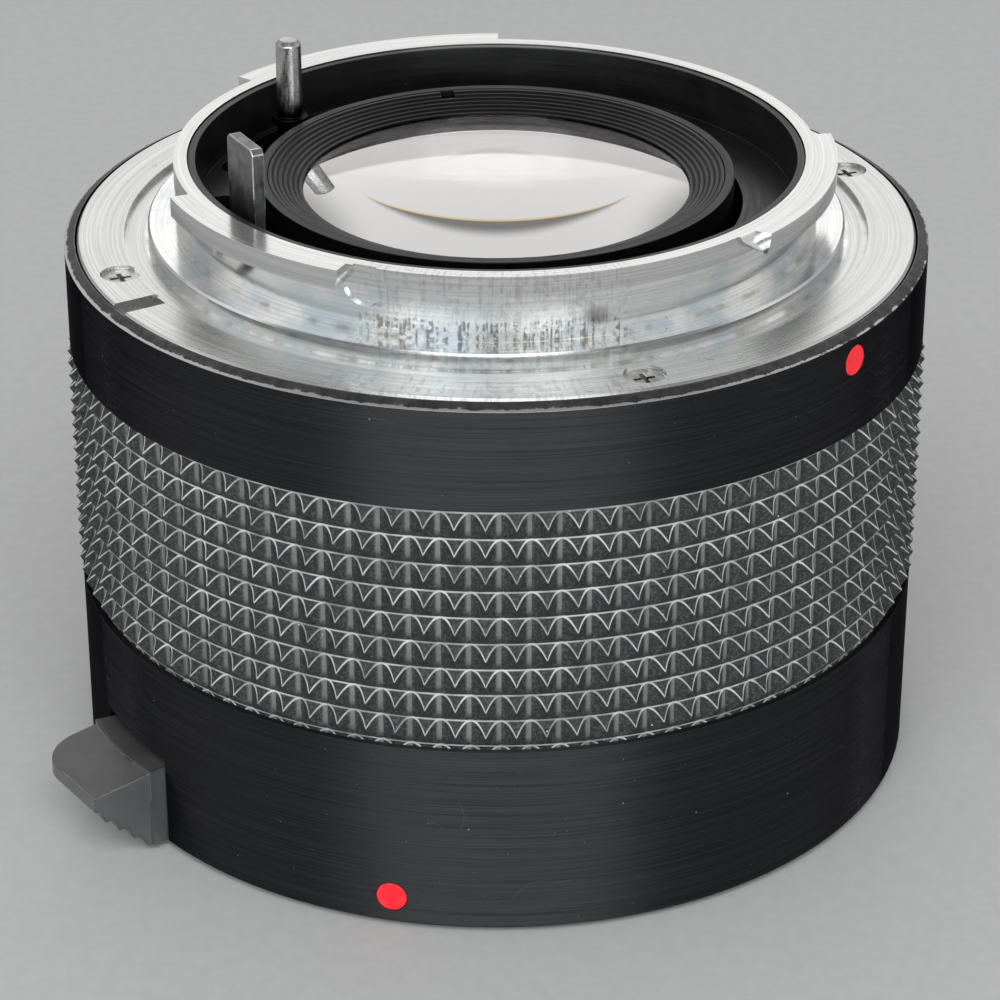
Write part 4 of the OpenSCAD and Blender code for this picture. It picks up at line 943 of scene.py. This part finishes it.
def soften(piece: bpy.types.Object, width: float, segments: int = 2, angle: float = 25.0) -> None:
    """Round a piece's edges with a bevel.

    Args:
        piece: The piece.
        width: Width of the bevel in millimetres.
        segments: Steps across the bevel.
        angle: Edges that turn more than this, in degrees, are rounded.
    """
    bevel = piece.modifiers.new("soft_edges", "BEVEL")
    bevel.width = width * MM
    bevel.segments = segments
    bevel.limit_method = "ANGLE"
    bevel.angle_limit = math.radians(angle)
    bevel.harden_normals = True
    bevel.use_clamp_overlap = True


def soft_copy(node: str, width: float, sharp: float = 30.0, join: float = 0.03) -> bpy.types.Object:
    """Copy a CAD solid with its flat faces joined and its edges rounded.

    Args:
        node: Name of the CAD node.
        width: Width of the rounding in millimetres.
        sharp: Edges that turn more than this, in degrees, stay sharp.
        join: Points closer than this, in millimetres, become one.

    Returns:
        The copy.
    """
    solid = bmesh.new()
    solid.from_mesh(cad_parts[node].data)
    bmesh.ops.remove_doubles(solid, verts=solid.verts, dist=join * MM)
    bmesh.ops.dissolve_degenerate(solid, edges=solid.edges, dist=1e-7)
    bmesh.ops.dissolve_limit(solid, angle_limit=math.radians(0.3), verts=solid.verts, edges=solid.edges)
    piece = finished(node + "_piece", solid, sharp)
    soften(piece, width)
    return piece


def lathe(name: str, profile: Profile, steps: int, sharp: float = 30.0) -> bpy.types.Object:
    """Turn a closed profile round the optical axis.

    Args:
        name: Name of the piece.
        profile: Radius and height of each corner in millimetres, counter-clockwise.
        steps: Steps round the axis.
        sharp: Edges that turn more than this, in degrees, stay sharp.

    Returns:
        The turned piece.
    """
    points: List[Point] = []
    rings: List[List[int]] = []
    for radius, height in profile:
        if radius == 0.0:
            points.append((0.0, 0.0, height * MM))
            rings.append([len(points) - 1] * steps)
            continue
        first = len(points)
        for k in range(steps):
            turn = math.tau * k / steps
            points.append((radius * MM * math.cos(turn), radius * MM * math.sin(turn), height * MM))
        rings.append(list(range(first, first + steps)))
    faces: List[List[int]] = []
    for low, high in zip(rings, rings[1:] + rings[:1]):
        for k in range(steps):
            corners = [low[k], low[(k + 1) % steps], high[(k + 1) % steps], high[k]]
            corners = [point for i, point in enumerate(corners) if point not in corners[:i]]
            if len(corners) > 2:
                faces.append(corners)
    return new_object(name, points, faces, sharp)


class Assembly:
    """What the sub-assemblies share: settling a finished piece on its body."""

    def settle(self, piece: bpy.types.Object, body: Body, slot: Slot, finish: Finish, *nodes: str) -> None:
        """Dress a piece, put it on its body and let it stand for CAD nodes.

        Args:
            piece: The piece.
            body: The body that it rides on.
            slot: The record's slot; not used.
            finish: Its finish.
            nodes: The CAD nodes that it stands for.
        """
        piece.data.materials.append(finish.material())
        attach(piece, body.value)
        if nodes:
            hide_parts(*nodes)
        LOG.info("%s: %s on %s", piece.name, finish.name, body.value)

    def rub(self, piece: bpy.types.Object, finish: Finish) -> None:
        """Give a piece's rounded edges a finish of their own.

        Args:
            piece: The piece, already dressed.
            finish: The finish of its edges.
        """
        piece.data.materials.append(finish.material())
        piece.modifiers["soft_edges"].material = 1

    def soft(self, node: str, width: float, body: Body, slot: Slot, finish: Finish,
             edges: Union[Finish, None] = None) -> bpy.types.Object:
        """Build a CAD node again with soft edges and dress it.

        Args:
            node: Name of the CAD node.
            width: Width of the rounding in millimetres.
            body: The body that it rides on.
            slot: The record's slot, passed on to settle, which does not use it.
            finish: Its finish.
            edges: The finish of its edges, where it has one of their own.

        Returns:
            The new piece.
        """
        piece = soft_copy(node, width)
        self.settle(piece, body, slot, finish, node)
        if edges is not None:
            self.rub(piece, edges)
        return piece

    def spring(self, node: str, body: Body, fixed_z: float) -> None:
        """Copy a wire spring, whose one end is held by the housing and whose other end moves, and dress it;
        the copy is put on no body and does not bend.

        Args:
            node: Name of the CAD node.
            body: The body that its free end moves with; only named in the log.
            fixed_z: Height of the held end in millimetres; not used.
        """
        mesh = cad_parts[node].data
        points = [tuple(vert.co) for vert in mesh.vertices]
        faces = [list(face.vertices) for face in mesh.polygons]
        piece = new_object(node + "_piece", points, faces, sharp=60.0)
        piece.data.materials.append(SPRING.material())
        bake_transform(piece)
        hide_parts(node)
        LOG.info("%s: %s between %s and %s", piece.name, SPRING.name, Body.HOUSING.value, body.value)

    def dress(self, finish: Finish, *nodes: str) -> None:
        """Give CAD nodes that keep their shape a finish.

        Args:
            finish: The finish.
            nodes: Names of the nodes.
        """
        for node in nodes:
            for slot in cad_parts[node].material_slots:
                slot.material = finish.material()
            LOG.info("%s: %s", node, finish.name)


@dataclass
class Housing(Assembly):
    """The barrel with its painted dots."""

    edge: float = 0.2
    dot_edge: float = 0.1
    rim_z: float = RUBBED_RIM.height[0]

    def build(self) -> None:
        """Build the barrel with its rubbed rim, and its dots."""
        barrel = self.soft("barrel", self.edge, Body.HOUSING, Slot.ANODISED, ANODISED, RUBBED_RIM)
        for face in barrel.data.polygons:
            if face.normal.z > 0.5 and face.center.z > self.rim_z * MM:
                face.material_index = 1
        for node in ("front_index_dot", "rear_index_dot"):
            self.soft(node, self.dot_edge, Body.HOUSING, Slot.RED, RED)


@dataclass
class GripRing(Assembly):
    """The moulded rubber ring of small pyramids between rounded grooves."""

    pattern: GripPattern = RUBBER.pattern
    tip_r: float = 31.25
    relief: float = 0.75
    inner_r: float = 30.05
    steps: int = 12
    sharp: float = 38.0

    def build(self) -> None:
        """Build the ring's mesh and dress it."""
        columns = self.pattern.columns * self.steps
        points: List[Point] = []
        for k in range(columns):
            part = (k % self.steps) / self.steps
            line = self.line((2.0 * min(part, 1.0 - part)) ** self.pattern.power)
            turn = math.tau * k / columns
            points += [(r * MM * math.cos(turn), r * MM * math.sin(turn), z * MM) for r, z in line]
        count = len(points) // columns
        faces = []
        for k in range(columns):
            here, there = k * count, (k + 1) % columns * count
            for i in range(count):
                j = (i + 1) % count
                faces.append((here + i, there + i, there + j, here + j))
        ring = bmesh.new()
        mesh = bpy.data.meshes.new("grip_draft")
        mesh.from_pydata(points, [], faces)
        ring.from_mesh(mesh)
        bmesh.ops.remove_doubles(ring, verts=ring.verts, dist=1e-7)
        bmesh.ops.dissolve_degenerate(ring, edges=ring.edges, dist=1e-8)
        bpy.data.meshes.remove(mesh)
        piece = finished("grip_ring_piece", ring, self.sharp)
        self.settle(piece, Body.HOUSING, Slot.RUBBER, RUBBER, "grip_ring")

    def line(self, rise: float) -> List[Span]:
        """Lay one line of points up the ring's outside and down its inside.

        Args:
            rise: Height of the groove's floor there, 0 in its middle and 1 on a tip.

        Returns:
            Radius and height of each point in millimetres.
        """
        pattern = self.pattern
        valley = self.tip_r - self.relief
        crest = valley + self.relief * rise
        line = [(self.inner_r, pattern.base_z), (valley, pattern.base_z)]
        for row in range(pattern.rows):
            low = pattern.first_row + row * pattern.pitch
            line += [(valley, low), (crest, low + rise * pattern.pitch / 2),
                     (crest, low + (1 - rise / 2) * pattern.pitch)]
        top = pattern.top_z
        line += [(valley, top - pattern.border), (valley, top), (self.inner_r, top)]
        return line


@dataclass
class Mount(Assembly):
    """A plated bayonet with its screws and light shield."""

    end: End
    edge: float = 0.07
    screw_edge: float = 0.05
    shield_edge: float = 0.06

    def build(self) -> None:
        """Build the bayonet, its screws and the light shield."""
        self.soft(self.end.value + "_mount", self.edge, Body.HOUSING, Slot.PLATED, PLATED, PLATED_EDGE)
        self.soft(self.end.value + "_mount_screws", self.screw_edge, Body.HOUSING, Slot.SCREW, SCREW)
        self.soft(self.end.value + "_baffle", self.shield_edge, Body.HOUSING, Slot.SHIELD, SHIELD)


@dataclass
class RearMount(Mount):
    """The bayonet on the camera's side."""

    end: End = End.REAR

    def build(self) -> None:
        """Build the bayonet and dress the screws of its shield."""
        super().build()
        self.dress(SHIELD, "rear_baffle_screws")


@dataclass
class FrontMount(Mount):
    """The bayonet on the lens's side."""

    end: End = End.FRONT

    def build(self) -> None:
        """Build the bayonet and dress its leaf springs."""
        super().build()
        self.dress(SPRING, "bayonet_springs")


@dataclass
class Optics(Assembly):
    """The lens tube, its glass and the rear cell."""

    lens_r: float = 14.9
    lens_low: float = 41.62
    lens_rim: float = 43.1
    lens_curve: float = 60.0
    rings: int = 24
    steps: int = 128
    cell_edge: float = 0.06
    ring_edge: float = 0.04

    def build(self) -> None:
        """Build the rear element, its cell and the ring that holds it, and dress the rest."""
        self.settle(self.rear_element(), Body.HOUSING, Slot.GLASS, COATED, "lens_7")
        self.soft("rear_cell", self.cell_edge, Body.HOUSING, Slot.CELL, CELL)
        self.soft("rear_retaining_ring", self.ring_edge, Body.HOUSING, Slot.CELL, CELL)
        self.dress(GLASS, *("lens_%d" % k for k in range(1, 7)))
        self.dress(CELL, "optical_tube", "front_retaining_ring",
                   "front_spacer", "middle_spacer", "rear_spacer")
        self.dress(SHIELD, "bulkhead")
        self.dress(SCREW, "bulkhead_screws")
        self.dress(BRASS, "tube_nut", "ring_spacer")

    def rear_element(self) -> bpy.types.Object:
        """Turn the rear element with a smooth crown.

        Returns:
            The element.
        """
        rise = self.lens_curve - math.sqrt(self.lens_curve ** 2 - self.lens_r ** 2)
        profile = [(0.0, self.lens_low), (self.lens_r, self.lens_low)]
        for k in range(self.rings + 1):
            radius = self.lens_r * (1.0 - k / self.rings)
            sag = self.lens_curve - math.sqrt(self.lens_curve ** 2 - radius ** 2)
            profile.append((radius, self.lens_rim + rise - sag))
        return lathe("rear_element", profile, self.steps)


@dataclass
class Couplings(Assembly):
    """The two links that carry the camera's movements to the lens."""

    edge: float = 0.08
    stop_down_held_z: float = 31.2
    aperture_held_z: float = 30.3

    def build(self) -> None:
        """Build the parts that show and dress the rest."""
        self.soft("stop_down_pin", self.edge, Body.STOP_DOWN, Slot.LEVER, PIN_STEEL)
        self.soft("stop_down_fork", self.edge, Body.STOP_DOWN, Slot.LEVER, DARK_STEEL, BRIGHT_STEEL)
        for node in ("aperture_lever", "aperture_fork"):
            self.soft(node, self.edge, Body.APERTURE, Slot.LEVER, DARK_STEEL, BRIGHT_STEEL)
        self.dress(BRASS, "stop_down_ring", "aperture_ring")
        self.spring("stop_down_spring", Body.STOP_DOWN, self.stop_down_held_z)
        self.spring("aperture_spring", Body.APERTURE, self.aperture_held_z)
        self.dress(SPRING, "ring_retainer")


@dataclass
class Release(Assembly):
    """The lens release lever with its locking pin and spring."""

    lever_edge: float = 0.28
    pin_edge: float = 0.08
    spring_held_z: float = 12.3

    def build(self) -> None:
        """Build the lever, the pin and the spring."""
        self.soft("release_lever", self.lever_edge, Body.RELEASE, Slot.ANODISED, LEVER_BLACK, RUBBED_LEVER)
        self.soft("lock_pin", self.pin_edge, Body.RELEASE, Slot.LEVER, DARK_STEEL, BRIGHT_STEEL)
        self.spring("release_spring", Body.RELEASE, self.spring_held_z)


@dataclass(frozen=True)
class Lamp:
    """A soft oblong lamp that faces the object."""

    name: str
    place: Point
    aim: Point
    size: Span
    watts: float

    def build(self) -> None:
        """Hang the lamp."""
        data = bpy.data.lights.new(self.name, "AREA")
        data.shape = "RECTANGLE"
        data.size, data.size_y = self.size
        data.energy = self.watts
        lamp = bpy.data.objects.new(self.name, data)
        lamp.location = self.place
        lamp.rotation_euler = (Vector(self.aim) - Vector(self.place)).to_track_quat("-Z", "Y").to_euler()
        lamp.visible_camera = False
        bpy.context.scene.collection.objects.link(lamp)


@dataclass(frozen=True)
class Room:
    """The light of the room, laid in the world by direction: how high, how far away and how far aside.

    A height is the sine of the elevation. A pair of numbers is where a wall fades in or out, apart from
    front_rise and sides_rise, which are the lower and upper ends, and slit_bows, which are two depths.
    """

    behind: Point = (-0.2348, 0.9720, 0.0)
    beside: Point = (0.9720, 0.2348, 0.0)
    ceiling: float = 0.16
    level: float = 0.22
    ceiling_rise: Span = (0.80, 0.97)
    back: float = 0.60
    back_away: Span = (0.0, 0.45)
    back_rise: Span = (0.02, 0.18)
    back_aside: Span = (0.20, 0.28)
    window: float = 0.45
    window_aside: Span = (0.18, 0.25)
    window_rise: Span = (0.295, 0.32)
    slit_span: float = 0.172
    slit_tips: float = 0.43
    slit_bows: Span = (0.215, 0.270)
    slit_dark: float = 0.15
    fringe: Colour = (1.0, 0.80, 0.50)
    left: float = 0.80
    right: float = 0.58
    sides_away: Span = (0.1, 0.5)
    sides_rise: Span = (0.22, 0.6)
    sides_aside: Span = (0.08, 0.16)
    front: float = 5.6
    front_away: Span = (-0.84, -0.76)
    front_rise: Span = (0.02, 0.24)
    cool: Colour = (0.97, 1.0, 1.01)
    warm: Colour = (1.0, 0.992, 0.985)

    def build(self) -> None:
        """Light the world by a wall behind with a window, walls at the sides, a low front and the ceiling."""
        world = bpy.data.worlds.new("studio")
        bpy.context.scene.world = world
        sheet = Sheet(world, "Background")
        way = sheet.add("ShaderNodeTexCoord", {}).outputs["Generated"]
        rise = sheet.add("ShaderNodeSeparateXYZ", {0: way}).outputs[2]
        away, side = sheet.along(way, self.behind), sheet.along(way, self.beside)
        aside = sheet.math("ABSOLUTE", side)
        slit, fringe = self.crescent(sheet, rise, side)
        wall = sheet.times(sheet.band(away, *self.back_away), sheet.band(rise, *self.back_rise),
                           sheet.between(slit, 1.0, self.slit_dark),
                           sheet.between(sheet.band(aside, *self.back_aside), 1.0, 0.5))
        window = sheet.times(wall, sheet.falling(aside, *self.window_aside),
                             sheet.band(rise, *self.window_rise))
        front = sheet.times(sheet.falling(away, *self.front_away),
                            sheet.within(rise, *self.front_rise, 0.04))
        under = sheet.falling(rise, *self.ceiling_rise)
        level = sheet.math("ADD", sheet.between(under, self.ceiling, self.level),
                           self.sides(sheet, rise, away, side))
        for share, strength in ((wall, self.back), (window, self.window), (front, self.front)):
            level = sheet.math("ADD", level, sheet.times(share, under, strength))
        tint = sheet.mix(sheet.band(away, -0.3, 0.3), self.cool, self.warm)
        sheet.set(color=sheet.mix(fringe, tint, self.fringe), strength=level)

    def crescent(self, sheet: Sheet, rise: Socket, side: Socket) -> Tuple[Socket, Socket]:
        """Shape the dark crescent that the glass mirrors, with the warm fringe along its lower edge.

        Args:
            sheet: The world's nodes.
            rise: Height of the direction.
            side: How far the direction goes to the right.

        Returns:
            The share of the crescent and the share of its fringe.
        """
        part = sheet.math("DIVIDE", side, self.slit_span)
        bow = sheet.math("SQRT", sheet.math("SUBTRACT", 1.0, sheet.times(part, part), True))
        low, high = (sheet.math("ADD", self.slit_tips, sheet.times(bow, depth)) for depth in self.slit_bows)
        above = sheet.math("SUBTRACT", rise, low)
        slit = sheet.times(sheet.band(above, -0.003, 0.003),
                           sheet.falling(sheet.math("SUBTRACT", rise, high), -0.036, 0.008))
        return slit, sheet.times(sheet.within(above, -0.006, 0.001, 0.003), sheet.band(bow, 0.1, 0.4))

    def sides(self, sheet: Sheet, rise: Socket, away: Socket, side: Socket) -> Socket:
        """Shape the lower walls at the sides, with a gap between them in front.

        Args:
            sheet: The world's nodes.
            rise: Height of the direction.
            away: How far the direction goes to the back.
            side: How far the direction goes to the right.

        Returns:
            The strength of the walls.
        """
        apart = sheet.band(sheet.math("ABSOLUTE", side), *self.sides_aside)
        return sheet.times(sheet.falling(away, *self.sides_away), sheet.within(rise, *self.sides_rise, 0.15),
                           sheet.between(apart, 0.35, 1.0),
                           sheet.between(sheet.band(side, -0.3, 0.3), self.left, self.right))


@dataclass
class Studio:
    """The camera, the lamp, the room and the pale floor."""

    eye: Point = (0.05492, -0.22621, 0.13738)
    look: Point = (-0.20890, 0.86477, -0.45664)
    lens: float = 125.53
    sensor: float = 36.0
    nearest: float = 0.01
    floor_size: float = 3.0
    room: Room = Room()
    key: Lamp = Lamp("key", (0.08, -0.36, 0.46), (0.0, 0.0, 0.03), (0.50, 0.30), 1.3)

    def build(self) -> None:
        """Set up the camera, the lamp, the room and the floor."""
        scene = bpy.context.scene
        scene.view_settings.view_transform = "Standard"
        data = bpy.data.cameras.new("camera")
        data.lens = self.lens
        data.sensor_width = self.sensor
        data.clip_start = self.nearest
        camera = bpy.data.objects.new("camera", data)
        camera.location = self.eye
        camera.rotation_euler = Vector(self.look).to_track_quat("-Z", "Y").to_euler()
        scene.collection.objects.link(camera)
        scene.camera = camera
        self.key.build()
        self.room.build()
        self.floor()

    def floor(self) -> None:
        """Lay the floor under the front mount."""
        half = self.floor_size / 2
        low = CAD_BOX[0][2]
        points = [(-half, -half, low), (half, -half, low), (half, half, low), (-half, half, low)]
        floor = new_object("floor", points, [(0, 1, 2, 3)])
        floor.data.materials.append(FLOOR.material())


def main() -> None:
    """Build the studio and every sub-assembly."""
    logging.basicConfig(level=logging.INFO, format="%(message)s")
    for part in (Studio(), Housing(), GripRing(), RearMount(), Optics(),
                 Couplings(), Release(), FrontMount()):
        part.build()


if __name__ == "__main__":
    main()
